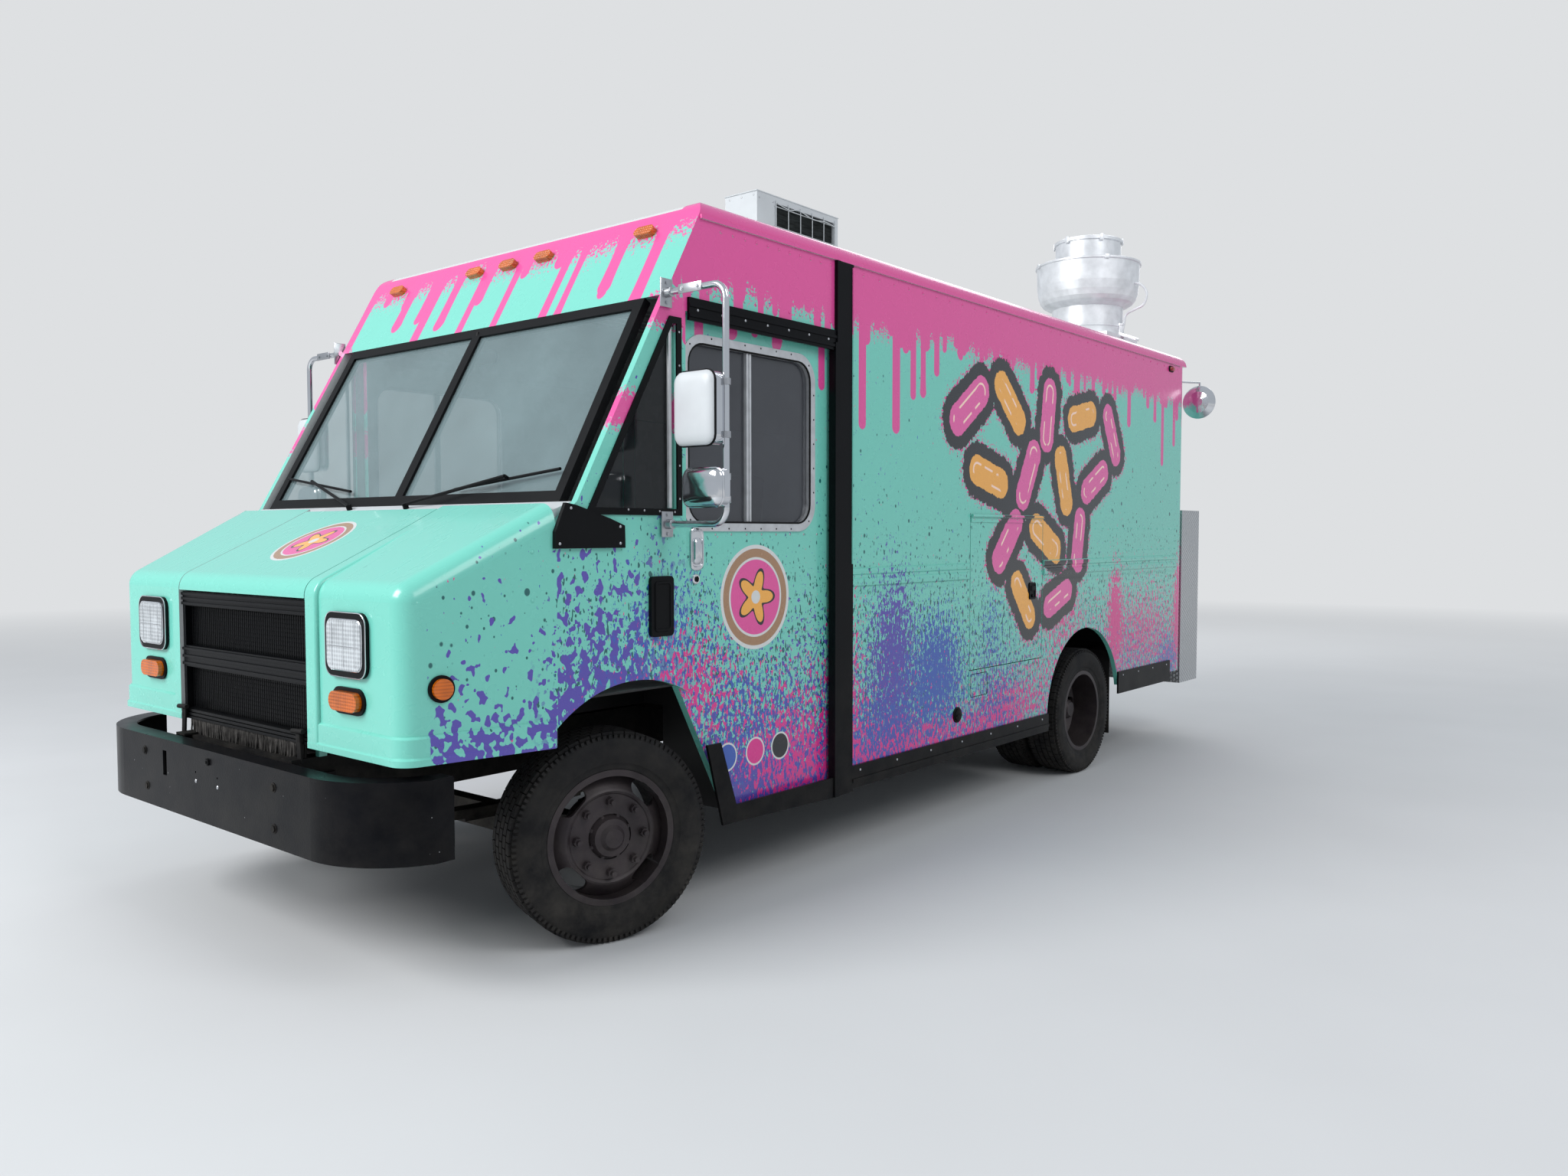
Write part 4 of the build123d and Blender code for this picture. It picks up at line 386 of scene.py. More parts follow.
# Clouds of fine spray: middle (y, z), reach (y, z), strength
PURPLE_CLOUDS = [(-0.75, 0.98, 0.24, 0.52, 0.25), (-1.75, 0.46, 0.60, 0.20, 0.20),
                 (-0.50, 0.45, 0.90, 0.16, 0.16), (0.35, 0.62, 0.30, 0.30, 0.14), (2.40, 0.80, 0.80, 0.30, 0.10)]
BLUE_CLOUDS = [(-0.34, 0.84, 0.30, 0.38, 0.26), (-2.30, 1.20, 0.40, 0.35, 0.15), (-1.75, 0.78, 0.40, 0.25, 0.13),
               (2.95, 0.66, 0.30, 0.16, 0.20), (-1.00, 0.60, 0.35, 0.22, 0.14), (0.25, 1.05, 0.14, 0.30, 0.14)]
PINK_CLOUDS = [(-1.50, 0.62, 0.36, 0.40, 0.13), (-0.40, 0.48, 0.90, 0.13, 0.12), (0.62, 0.60, 0.50, 0.22, 0.11),
               (1.15, 1.05, 0.35, 0.32, 0.15), (1.95, 1.05, 0.11, 0.42, 0.20), (2.45, 0.92, 0.80, 0.40, 0.17),
               (3.16, 1.05, 0.10, 0.42, 0.34), (-2.18, 0.98, 0.30, 0.26, 0.17), (-1.12, 0.95, 0.14, 0.50, 0.12)]
# Long drips on the sides: place along the van, height of the round end, half width
LONG_DRIPS = [(-2.116, 2.270, 0.026), (-1.301, 2.245, 0.024), (-1.028, 2.090, 0.030), (-0.739, 2.092, 0.034),
              (-0.585, 2.265, 0.026), (-0.362, 2.405, 0.026), (2.142, 2.325, 0.030), (2.756, 2.082, 0.026),
              (2.982, 2.236, 0.025)]
# Rows of short drips: width of a cell, half width of a drip, greatest length, seed of the dice
SIDE_RUNS = [(DRIP_CELL, 0.028, 0.42, 1.0), (DRIP_CELL * 0.63, 0.020, 0.24, 11.0),
             (DRIP_CELL * 0.37, 0.012, 0.13, 17.0)]
FRONT_RUNS = [(0.31, 0.036, 0.78, 5.0), (0.23, 0.029, 0.50, 23.0)]


# %% Strokes that the pattern is made of
def drips(tree, along, down, cell, width, length, seed):
    """1 inside drips that run down from depth 0: one to a cell, each as wide and long as its dice say."""
    scaled = along / cell
    index = scaled.math("FLOOR")
    throw = chance(tree, index, seed)
    throw_b = chance(tree, index, seed + 7.3)
    offset = (scaled - index - 0.5 + (throw_b - 0.5) * 0.5) * cell
    reach = (throw_b * throw_b * 0.8 + 0.12) * length
    beyond = (down - reach).max(0.0)
    bulb = (beyond.max(reach - down) * -1.0 / 0.05).math("EXPONENT") * 0.006
    half = (throw * 0.5 + 0.7) * width + bulb + (down * -1.0 / 0.03).math("EXPONENT") * 0.022
    distance = (offset * offset + beyond * beyond).math("SQRT")
    return distance.below(half, 0.003)


def dots(tree, place, scale, size, share, seed):
    """1 inside round spots: one to a cell, of mixed sizes, in as many cells as share says."""
    node = tree.nodes.new("ShaderNodeTexVoronoi")
    node.voronoi_dimensions = "4D"
    tree.links.new(place, node.inputs["Vector"])
    node.inputs["W"].default_value = seed
    node.inputs["Scale"].default_value = scale
    throws = tree.nodes.new("ShaderNodeSeparateColor")
    tree.links.new(node.outputs["Color"], throws.inputs[0])
    throw, throw_b = Field(tree, throws.outputs[0]), Field(tree, throws.outputs[1])
    radius = (throw * throw * 0.8 + 0.2) * size
    return Field(tree, node.outputs["Distance"]).below(radius, 0.06) * throw_b.below(share, 0.01)


def clouds(y, z, table):
    """How thick the spray lies, from a table of soft clouds."""
    total = None
    for middle_y, middle_z, reach_y, reach_z, strength in table:
        across = (y - middle_y) / reach_y
        up = (z - middle_z) / reach_z
        puff = ((across * across + up * up) * -1.0).math("EXPONENT") * strength
        total = puff if total is None else total + puff
    return total


def sprinkle_distance(y, z, table):
    """How far a point lies from the nearest sprinkle's edge, less than zero inside."""
    nearest = None
    for middle_y, middle_z, lean, half, width in table:
        run, rise = math.cos(math.radians(lean)) * half, math.sin(math.radians(lean)) * half
        from_y, from_z = y - (middle_y - run), z - (middle_z - rise)
        share = (from_y * (2 * run) + from_z * (2 * rise)) / (4 * half * half)
        share = share.max(0.0).min(1.0)
        off_y, off_z = from_y - share * (2 * run), from_z - share * (2 * rise)
        distance = (off_y * off_y + off_z * off_z).math("SQRT") - width
        nearest = distance if nearest is None else nearest.min(distance)
    return nearest


def rosette(tree, color, across, up, radius, mask):
    """A ringed disc with a five-petalled flower in it, laid over a colour where mask is 1."""
    distance = (across * across + up * up).math("SQRT")
    turn = up.math("ARCTAN2", across)
    petals = (turn * 5.0).math("COSINE") * 0.16 + 0.40
    for limit, tint in ((1.10, ROOF_WHITE), (1.02, TAN), (0.84, ROOF_WHITE), (0.79, PINK)):
        color = blend_color(tree, distance.below(limit * radius, 0.002) * mask, color, tint)
    color = blend_color(tree, distance.below((petals + 0.07) * radius, 0.002) * mask, color, INK)
    color = blend_color(tree, distance.below(petals * radius, 0.002) * mask, color, GOLD)
    return blend_color(tree, distance.below(0.14 * radius, 0.002) * mask, color, ROOF_WHITE)


# %% [markdown]
# The paint is laid on in the order a sprayer would work: splatter on the mint, the poured pink,
# the sprinkles, the badges on door and hood, and last the plain white of the roof and lining. Each
# layer reads the same few fields about the point on the body, which are kept together.

# %% Layers of the paint
class Skin:
    """Where a point lies on the body and which way it faces, as fields that every layer reads."""

    def __init__(self, tree, place):
        self.tree = tree
        self.x, self.y, self.z = split(tree, place)
        normal = tree.nodes.new("ShaderNodeNewGeometry").outputs["True Normal"]
        self.nx, self.ny, self.nz = split(tree, normal)
        self.side = self.nx.abs().above(0.6, 0.02)
        other = self.side.math("MULTIPLY_ADD", -1.0, 1.0)
        self.along = self.side * self.y + other * self.x
        self.front = other * self.y.below(CAB_REAR_Y, 0.02)
        self.walls = self.front * -1.0 + 1.0
        self.flat = join(tree, self.along, self.z, self.x.math("SIGN") * self.side * 5.0)

    def stretched(self, squeeze):
        """The place unrolled on the wall, with heights squeezed so that spots come out upright."""
        return join(self.tree, self.along, self.z * squeeze, self.x.math("SIGN") * 5.0)

    def outside(self, limit=INNER_X):
        """1 on the outer skin of the sides."""
        return self.x.abs().above(limit, 0.01)


def poured_pink(skin):
    """1 where pink lies: poured over the roof's edge, run down in drips, dabbed on the pillar."""
    tree, y, z = skin.tree, skin.y, skin.z
    wave = noise(tree, join(tree, skin.along, 0.0, 0.0), 2.2, 2.0, 0.5, 4.0)
    down = skin.front * HEADER_RISE + POUR_Z + (wave - 0.5) * POUR_WAVE - z
    depth = down.max(0.0)
    mist = noise(tree, skin.flat, 66.0, 3.0, 0.75, 1.0)
    pink = down.below(0.0, 0.004).max(mist.above(depth * 1.9 + 0.40, 0.02))
    for runs, where in ((SIDE_RUNS, skin.walls), (FRONT_RUNS, skin.front)):
        for cell, width, length, seed in runs:
            pink = pink.max(drips(tree, skin.along, depth, cell, width, length, seed) * where)
    for drip_y, end_z, half in LONG_DRIPS:
        off = y - drip_y
        past = (z * -1.0 + end_z).max(0.0)
        drip = (off * off + past * past).math("SQRT").below(half, 0.003)
        pink = pink.max(drip * skin.side * z.below(DRIP_TOP_Z, 0.01))
    pink = pink * z.above(1.7, 0.01)
    band = (z - 2.03).abs().min((z - 2.43).abs())
    pillar = y.below(-2.24, 0.01) * z.between(1.72, 2.52, 0.01) * skin.outside(1.09)
    return pink.max(mist.above(band * 4.2 + 0.22, 0.02) * pillar)


def splatter(skin):
    """Mint with specks, blots and spray that thicken towards the skirts."""
    tree, y, z = skin.tree, skin.y, skin.z
    low = z.ramp(SPLASH_TOP_Z, SPLASH_FOOT_Z)
    dab_place, blot_place = skin.stretched(0.45), skin.stretched(0.78)
    inked = (skin.side * y.above(-3.36, 0.004) * skin.outside()).max(y.above(3.04, 0.01))
    behind_clip = y.above(CLIP_REAR_Y, 0.01)

    patches = noise(tree, blot_place, 2.6, 2.0, 0.5, 8.0) * 0.12
    thick = y.above(-2.885, 0.002) * z.ramp(1.80, 1.35) * 0.11
    cover = low * low * 0.36 + low * 0.05 + thick + patches * 0.6
    blots = noise(tree, blot_place, 27.0, 1.5, 0.55, 2.0).above(cover * -1.0 + 0.725, 0.006)
    blots = blots * y.ramp(-2.1, -2.5)
    dabs = noise(tree, blot_place, 44.0, 2.0, 0.6, 9.0).above((low * 0.20 + patches) * -1.0 + 0.735, 0.008)
    dabs = dabs * y.ramp(0.4, -1.4).max(0.35) * y.above(-2.95, 0.1)

    def spray(table, base, scale, seed):
        """Upright dabs, as thick as the clouds and the height say."""
        amount = clouds(y, z, table) * skin.outside() + low * base * skin.walls * behind_clip
        return noise(tree, dab_place, scale, 2.0, 0.7, seed).above(amount * -1.0 + 0.705, 0.008) * inked

    thin = z.ramp(2.5, 1.1) * 0.75 * inked
    flecks = noise(tree, dab_place, 58.0, 1.0, 0.6, 27.0).above(z.ramp(2.1, 1.1) * -0.185 + 0.775, 0.008)
    specks = dots(tree, blot_place, 26.0, 0.30, thin, 41.0)
    specks = specks.max(dots(tree, blot_place, 50.0, 0.36, thin, 43.0))
    color = blend_color(tree, specks.max(flecks * inked * behind_clip), MINT, TEAL)
    for share, tint in ((dots(tree, blot_place, 31.0, 0.26, low * 0.22 * inked, 49.0), HOT_PINK),
                        (spray(PURPLE_CLOUDS, 0.100, 58.0, 6.0).max(blots.max(dabs) * inked), PURPLE),
                        (spray(BLUE_CLOUDS, 0.085, 56.0, 33.0), BLUE),
                        (spray(PINK_CLOUDS, 0.085, 54.0, 15.0), HOT_PINK)):
        color = blend_color(tree, share, color, tint)
    return color


def sprinkles(skin, color):
    """Two colours of sprinkle with ragged black edges and a pink spray round them."""
    tree = skin.tree
    rough = skin.stretched(0.8)
    here = skin.side * skin.outside(1.12) * skin.y.between(*MOTIF_REACH_Y, 0.01)
    gold = sprinkle_distance(skin.y, skin.z, GOLD_SPRINKLES)
    pink = sprinkle_distance(skin.y, skin.z, PINK_SPRINKLES)
    nearest = gold.min(pink)
    ragged = (noise(tree, rough, 26.0, 3.0, 0.7, 81.0) - 0.5) * 0.09
    spray = noise(tree, rough, 70.0, 2.0, 0.6, 83.0).above((nearest - 0.025) * 3.4 + 0.34, 0.01)
    glint = (nearest + 0.045).abs().below(0.006, 0.003)
    glint = glint * noise(tree, rough, 9.0, 1.0, 0.5, 85.0).above(0.5, 0.02)
    for share, tint in ((spray * nearest.below(0.16, 0.01), HOT_PINK),
                        ((nearest + ragged).below(0.072, 0.003), INK),
                        ((pink + ragged * 0.35).below(0.0, 0.003), SPRINKLE_PINK),
                        ((gold + ragged * 0.35).below(0.0, 0.003), GOLD),
                        (glint, SPRINKLE_SHINE)):
        color = blend_color(tree, share * here, color, tint)
    return color


def badges(skin, color):
    """A rosette on each cab door and on the hood, and three plain discs low on each door."""
    tree, y, z = skin.tree, skin.y, skin.z
    door = skin.side * y.between(*BADGE_REACH_Y, 0.002) * skin.outside(1.10)
    badge_y, badge_z, radius = DOOR_BADGE
    color = rosette(tree, color, y - badge_y, z - badge_z, radius, door)
    for disc_y, tint in DISCS:
        distance = ((y - disc_y) * (y - disc_y) + (z - DISC_Z) * (z - DISC_Z)).math("SQRT")
        color = blend_color(tree, distance.below(DISC_RADIUS + DISC_RIM, 0.002) * door, color, ROOF_WHITE)
        color = blend_color(tree, distance.below(DISC_RADIUS, 0.002) * door, color, tint)
    hood = skin.nz.above(0.6, 0.01) * y.below(CLIP_REAR_Y, 0.01) * z.below(1.7, 0.01)
    badge_x, badge_y, radius = HOOD_BADGE
    return rosette(tree, color, skin.x - badge_x, (y - badge_y) * 1.13, radius, hood)


def plain_inside(skin, color):
    """White on the roof between its edges, and pale lining on all that faces inwards."""
    tree, x, y, z = skin.tree, skin.x, skin.y, skin.z
    roof = x.abs().below(1.06, 0.01) * skin.nz.above(0.7, 0.02) * z.above(2.6, 0.01)
    ceiling = skin.nz.below(-0.6, 0.01) * z.above(2.6, 0.01)
    in_cab = skin.ny.above(0.5, 0.01) * y.below(-1.8, 0.01)
    behind_glass = in_cab * x.abs().below(1.16, 0.01) * z.above(1.7, 0.01)
    lining = (skin.nx * x).below(-0.5, 0.01).max(ceiling).max(behind_glass)
    color = blend_color(tree, roof, color, ROOF_WHITE)
    return blend_color(tree, lining, color, LINER)


def body_paint(name):
    """The van's paint, read from the place on the body, so that it runs on over every panel."""
    material, tree, shader, place = new_finish(name)
    skin = Skin(tree, place)
    color = blend_color(tree, poured_pink(skin), splatter(skin), PINK)
    color = plain_inside(skin, badges(skin, sprinkles(skin, color)))
    grime = noise(tree, skin.flat, 5.0, 6.0, 0.7, 51.0).ramp(0.5, 0.85) * skin.z.ramp(0.7, 0.35) * 0.3
    tree.links.new(blend_color(tree, grime, color, DUST), shader.inputs["Base Color"])
    gloss = noise(tree, skin.flat, 7.0, 3.0, 0.6, 61.0) * 0.14 + 0.20 + grime * 0.3
    gloss.plug(shader.inputs["Roughness"])
    shader.inputs["Coat Weight"].default_value = 0.35
    shader.inputs["Coat Roughness"].default_value = 0.08
    bump(tree, shader, noise(tree, skin.flat, 2.2, 2.0, 0.5, 71.0), 0.004, 0.25)
    return material


FINISH["body_paint"] = body_paint("body_paint")


def speckled_black(name):
    """Black paint with the fine pale overspray that settled on the bumper."""
    material = finish(name, srgb(9, 10, 14), 0.30, vary=0.12, grain=0.0006, grain_scale=120, dust=0.05,
                      shine=0.08)
    tree = material.node_tree
    shader = tree.nodes["Principled BSDF"]
    place = tree.nodes.new("ShaderNodeTexCoord").outputs["Object"]
    under = shader.inputs["Base Color"].links[0].from_socket
    flecks = dots(tree, place, 60.0, 0.16, Field(tree, 0.16), 5.0)
    tree.links.new(blend_color(tree, flecks, under, srgb(150, 152, 154)), shader.inputs["Base Color"])
    return material


def treadplate(name, color):
    """Bright plate with raised lozenges in alternate directions."""
    material, tree, shader, place = new_finish(name)
    x, y, z = split(tree, place)
    across = (x + y) * 0.7071
    pitch = 2 * math.pi / 0.032
    rise, fall = (across + z) * pitch, (across - z) * pitch
    ridge_a = rise.math("SINE") * (fall * 0.5).math("SINE").abs().ramp(0.55, 0.8)
    ridge_b = fall.math("SINE") * (rise * 0.5).math("SINE").abs().ramp(0.55, 0.8)
    raised = ridge_a.max(ridge_b).ramp(0.2, 0.8)
    # Painted shade: the plate between the lozenges is painted darker than their tops, which keep the full
    # colour.
    tint = blend_color(tree, raised, tuple(c * 0.7 for c in color), color)
    tree.links.new(tint, shader.inputs["Base Color"])
    shader.inputs["Metallic"].default_value = 0.8
    (raised * -0.1 + 0.4).plug(shader.inputs["Roughness"])
    bump(tree, shader, raised, 0.003, 0.9)
    return material


def floor_plate(name):
    """The floor: bright plate where feet go, black undercoat in the arches and below."""
    material, tree, shader, place = new_finish(name)
    x, y, z = split(tree, place)
    geometry = tree.nodes.new("ShaderNodeNewGeometry")
    up = split(tree, geometry.outputs["Normal"])[2].above(0.5, 0.02)
    inside = up * z.above(0.42, 0.01)
    worn = noise(tree, place, 7.0, 4.0)
    bright = blend_color(tree, worn.ramp(0.3, 0.7), srgb(120, 122, 124), srgb(160, 162, 164))
    tree.links.new(blend_color(tree, inside, srgb(14, 14, 15), bright), shader.inputs["Base Color"])
    (inside * 0.6).plug(shader.inputs["Metallic"])
    shader.inputs["Roughness"].default_value = 0.5
    return material


TREADPLATE = treadplate("treadplate", srgb(206, 208, 210))
OWN_LOOK = {"gas_cabinet": TREADPLATE, "front_bumper": speckled_black("speckled_black"),
            "rear_platform": TREADPLATE, "floor": floor_plate("floor_plate"),
            "door_glass_left": FINISH["side_glass"],
            "door_glass_right": FINISH["side_glass"]}

# %% Give every solid its finish
for row in frame["record"]["subparts"]:
    solid = NODES[row["node"]]
    solid.data.materials.clear()
    solid.data.materials.append(OWN_LOOK.get(row["node"], FINISH[row["material_slot"]]))
print("finishes:", len(FINISH))

# %% [markdown]
# ## Fittings built by hand
#
# Latches, handles, rings and brackets are each a few plain forms joined together. They could be
# modelled one by one with modifiers. Here one small class gathers blocks, turned shapes, pads and
# bent tubes in a single mesh, closes their ends and turns every face outwards, so that a fitting
# takes only a few lines.

# %% A mesh in the making
SHARP_ANGLE = math.radians(38)
OUT_X = 1.180
SIDES = ((1, "left"), (-1, "right"))


def dress(mesh, name, look, body, replaces=()):
    """Make a mesh a piece: smooth its curves, give it a finish and set it on its body."""
    mesh.polygons.foreach_set("use_smooth", [True] * len(mesh.polygons))
    mesh.set_sharp_from_angle(angle=SHARP_ANGLE)
    mesh.materials.clear()
    mesh.materials.append(FINISH[look])
    thing = bpy.data.objects.new(name, mesh)
    bpy.context.scene.collection.objects.link(thing)
    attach(thing, body)
    if replaces:
        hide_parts(*replaces)
    print(name, len(mesh.polygons), "faces")
    return thing


def smooth_path(points, steps, loop=False):
    """A curve through points, with a number of steps between each two."""
    points = [Vector(point) for point in points]
    count = len(points)
    path = []
    for i in range(count if loop else count - 1):
        near, far = points[i], points[(i + 1) % count]
        before = points[(i - 1) % count] if loop or i else near
        after = points[(i + 2) % count] if loop or i + 2 < count else far
        for step in range(steps):
            t = step / steps
            bend = (before * 2 - near * 5 + far * 4 - after) * t * t
            twist = (near * 3 - before - far * 3 + after) * t ** 3
            path.append((near * 2 + (far - before) * t + bend + twist) * 0.5)
    return path if loop else path + [points[-1]]


def rounded(wide, tall, radius, steps=4):
    """Points of a rectangle with round corners, about its middle."""
    points = []
    for turn, (across, up) in enumerate(((1, 1), (-1, 1), (-1, -1), (1, -1))):
        for step in range(steps + 1):
            angle = math.pi / 2 * (turn + step / steps)
            points.append((across * (wide / 2 - radius) + math.cos(angle) * radius,
                           up * (tall / 2 - radius) + math.sin(angle) * radius))
    return points


def on_wall(x, y, z, outline):
    """An outline laid on a side of the van, about a middle point."""
    return [(x, y + across, z + up) for across, up in outline]


def on_face(x, y, z, outline):
    """An outline laid on the front or the back of the van, about a middle point."""
    return [(x + across, y, z + up) for across, up in outline]


class Form:
    """One piece in the making, to which blocks, turned shapes, pads and tubes are added."""

    def __init__(self):
        self.mesh = bmesh.new()

    def skin(self, rings, loop=False):
        """Join rings of corners into one closed skin."""
        pairs = list(zip(rings, rings[1:])) + ([(rings[-1], rings[0])] if loop else [])
        for near, far in pairs:
            for i in range(max(len(near), len(far))):
                corners = (near[i % len(near)], near[(i + 1) % len(near)],
                           far[(i + 1) % len(far)], far[i % len(far)])
                self.mesh.faces.new(list(dict.fromkeys(corners)))
        if not loop:
            for ring in (rings[0], rings[-1]):
                if len(ring) > 2:
                    self.mesh.faces.new(ring)
        return self

    def block(self, middle, size, chamfer=0.001, turn=None):
        """A block with chamfered edges, turned about its middle."""
        place = Matrix.Translation(middle) @ (turn or Matrix()).to_4x4() @ Matrix.Diagonal((*size, 1.0))
        corners = bmesh.ops.create_cube(self.mesh, size=1.0, matrix=place)["verts"]
        edges = list({edge for corner in corners for edge in corner.link_edges})
        bmesh.ops.bevel(self.mesh, geom=edges, offset=chamfer, segments=2, profile=0.5, affect="EDGES")
        return self

    def turned(self, foot, toward, profile, sides=24):
        """A shape turned about an axis, from pairs of distance along it and radius."""
        axis = Vector(toward).normalized()
        across = axis.orthogonal().normalized()
        up = axis.cross(across)
        rings = []
        for along, radius in profile:
            centre = Vector(foot) + axis * along
            turns = [2 * math.pi * i / sides for i in range(sides)] if radius > 1e-6 else [0.0]
            outward = [across * math.cos(turn) + up * math.sin(turn) for turn in turns]
            rings.append([self.mesh.verts.new(centre + way * radius) for way in outward])
        return self.skin(rings)

    def ring(self, foot, toward, profile, sides=32):
        """A ring turned about an axis, from a closed outline of distance along it and radius."""
        axis = Vector(toward).normalized()
        across = axis.orthogonal().normalized()
        up = axis.cross(across)
        rings = []
        for i in range(sides):
            turn = 2 * math.pi * i / sides
            outward = across * math.cos(turn) + up * math.sin(turn)
            rings.append([self.mesh.verts.new(Vector(foot) + axis * along + outward * radius)
                          for along, radius in profile])
        return self.skin(rings, loop=True)

    def pad(self, outline, out, steps):
        """A crowned plate: an outline in space, raised by steps of (height, share of its size)."""
        middle = sum((Vector(point) for point in outline), Vector()) / len(outline)
        rings = []
        for height, share in steps:
            lift = Vector(out) * height
            rings.append([self.mesh.verts.new(middle + (Vector(point) - middle) * share + lift)
                          for point in outline])
        return self.skin(rings)

    def tube(self, points, radius, sides=8, steps=1, loop=False):
        """A round bar along points, through a smooth curve when steps are more than one."""
        path = smooth_path(points, steps, loop) if steps > 1 else [Vector(point) for point in points]
        count = len(path)
        side_way = None
        rings = []
        for i, point in enumerate(path):
            ahead = path[(i + 1) % count] if loop or i + 1 < count else point
            behind = path[(i - 1) % count] if loop or i else point
            along = (ahead - behind).normalized()
            side_way = along.orthogonal() if side_way is None else side_way - along * side_way.dot(along)
            side_way = side_way.normalized()
            up = along.cross(side_way)
            turns = [2 * math.pi * k / sides for k in range(sides)]
            outward = [side_way * math.cos(turn) + up * math.sin(turn) for turn in turns]
            rings.append([self.mesh.verts.new(point + way * radius) for way in outward])
        return self.skin(rings, loop)

    def piece(self, name, look, body, slot=None, replaces=()):
        """Close the form, turn its faces outwards and set it on its body."""
        bmesh.ops.recalc_face_normals(self.mesh, faces=self.mesh.faces)
        mesh = bpy.data.meshes.new(name)
        self.mesh.to_mesh(mesh)
        self.mesh.free()
        return dress(mesh, name, look, body, replaces)


# %% [markdown]
# ## Trees for what repeats
#
# Rivets, bolt heads, wires, tread blocks and bristles come in hundreds. They could be copied by a
# loop in Python, but a Geometry Nodes tree says the rule once and keeps its sizes as named inputs:
# points go in, one small shape is set on each of them, and a plain mesh comes out. Each tree ends
# in Realize Instances and Set Material, because an export would lose bare instances.

# %% Helpers for the trees
INPUT_KINDS = {int: "NodeSocketInt", float: "NodeSocketFloat", tuple: "NodeSocketVector"}


def new_tree(name, sizes):
    """A tree that takes geometry and named sizes, with its input and output nodes."""
    tree = bpy.data.node_groups.new(name, "GeometryNodeTree")
    tree.interface.new_socket("Geometry", in_out="INPUT", socket_type="NodeSocketGeometry")
    for label, value in sizes.items():
        socket = tree.interface.new_socket(label, in_out="INPUT", socket_type=INPUT_KINDS[type(value)])
        socket.default_value = value
    tree.interface.new_socket("Finish", in_out="INPUT", socket_type="NodeSocketMaterial")
    tree.interface.new_socket("Geometry", in_out="OUTPUT", socket_type="NodeSocketGeometry")
    return tree, tree.nodes.new("NodeGroupInput").outputs


def add_node(tree, kind, settings=None, **inputs):
    """Add a node, set its options, and give each named input a value or a link."""
    added = tree.nodes.new(kind)
    for option, value in (settings or {}).items():
        setattr(added, option, value)
    for label, item in inputs.items():
        sockets = [s for s in added.inputs if s.name == label.replace("_", " ") and s.enabled]
        if isinstance(item, bpy.types.NodeSocket):
            tree.links.new(item, sockets[0])
        else:
            sockets[0].default_value = item
    return added


def first(added):
    """The first live output of a node."""
    return [socket for socket in added.outputs if socket.enabled][0]


def calculate(tree, operation, a, b):
    """One arithmetic step between two numbers or sockets."""
    added = tree.nodes.new("ShaderNodeMath")
    added.operation = operation
    for socket, item in zip(added.inputs, (a, b)):
        if isinstance(item, bpy.types.NodeSocket):
            tree.links.new(item, socket)
        else:
            socket.default_value = item
    return added.outputs[0]


def end_tree(tree, given, *parts):
    """Join the parts, make instances real, set the finish and give the mesh out."""
    joined = tree.nodes.new("GeometryNodeJoinGeometry")
    for part in parts:
        tree.links.new(part, joined.inputs[0])
    real = add_node(tree, "GeometryNodeRealizeInstances", Geometry=joined.outputs[0])
    dressed = add_node(tree, "GeometryNodeSetMaterial", Geometry=real.outputs[0], Material=given["Finish"])
    tree.links.new(dressed.outputs[0], tree.nodes.new("NodeGroupOutput").inputs[0])
    return tree


def grow(tree, name, places, sizes, look, body, turn=None):
    """Run a tree over places, as pairs of point and facing, and set the plain mesh on its body."""
    seeds = bpy.data.meshes.new(name)
    seeds.from_pydata([point for point, way in places], [], [])
    facing = seeds.attributes.new("facing", "FLOAT_VECTOR", "POINT")
    facing.data.foreach_set("vector", [part for point, way in places for part in way])
    carrier = bpy.data.objects.new(name, seeds)
    bpy.context.scene.collection.objects.link(carrier)
    modifier = carrier.modifiers.new("shape", "NODES")
    modifier.node_group = tree
    sockets = {item.name: item.identifier for item in tree.interface.items_tree if item.in_out == "INPUT"}
    for label, value in {**sizes, "Finish": FINISH[look]}.items():
        modifier[sockets[label]] = value
    ready = carrier.evaluated_get(bpy.context.evaluated_depsgraph_get())
    made = bpy.data.meshes.new_from_object(ready)
    bpy.data.objects.remove(carrier)
    if turn:
        made.transform(turn)
    return dress(made, name, look, body)


ONE_PLACE = [((0, 0, 0), (0, 0, 1))]

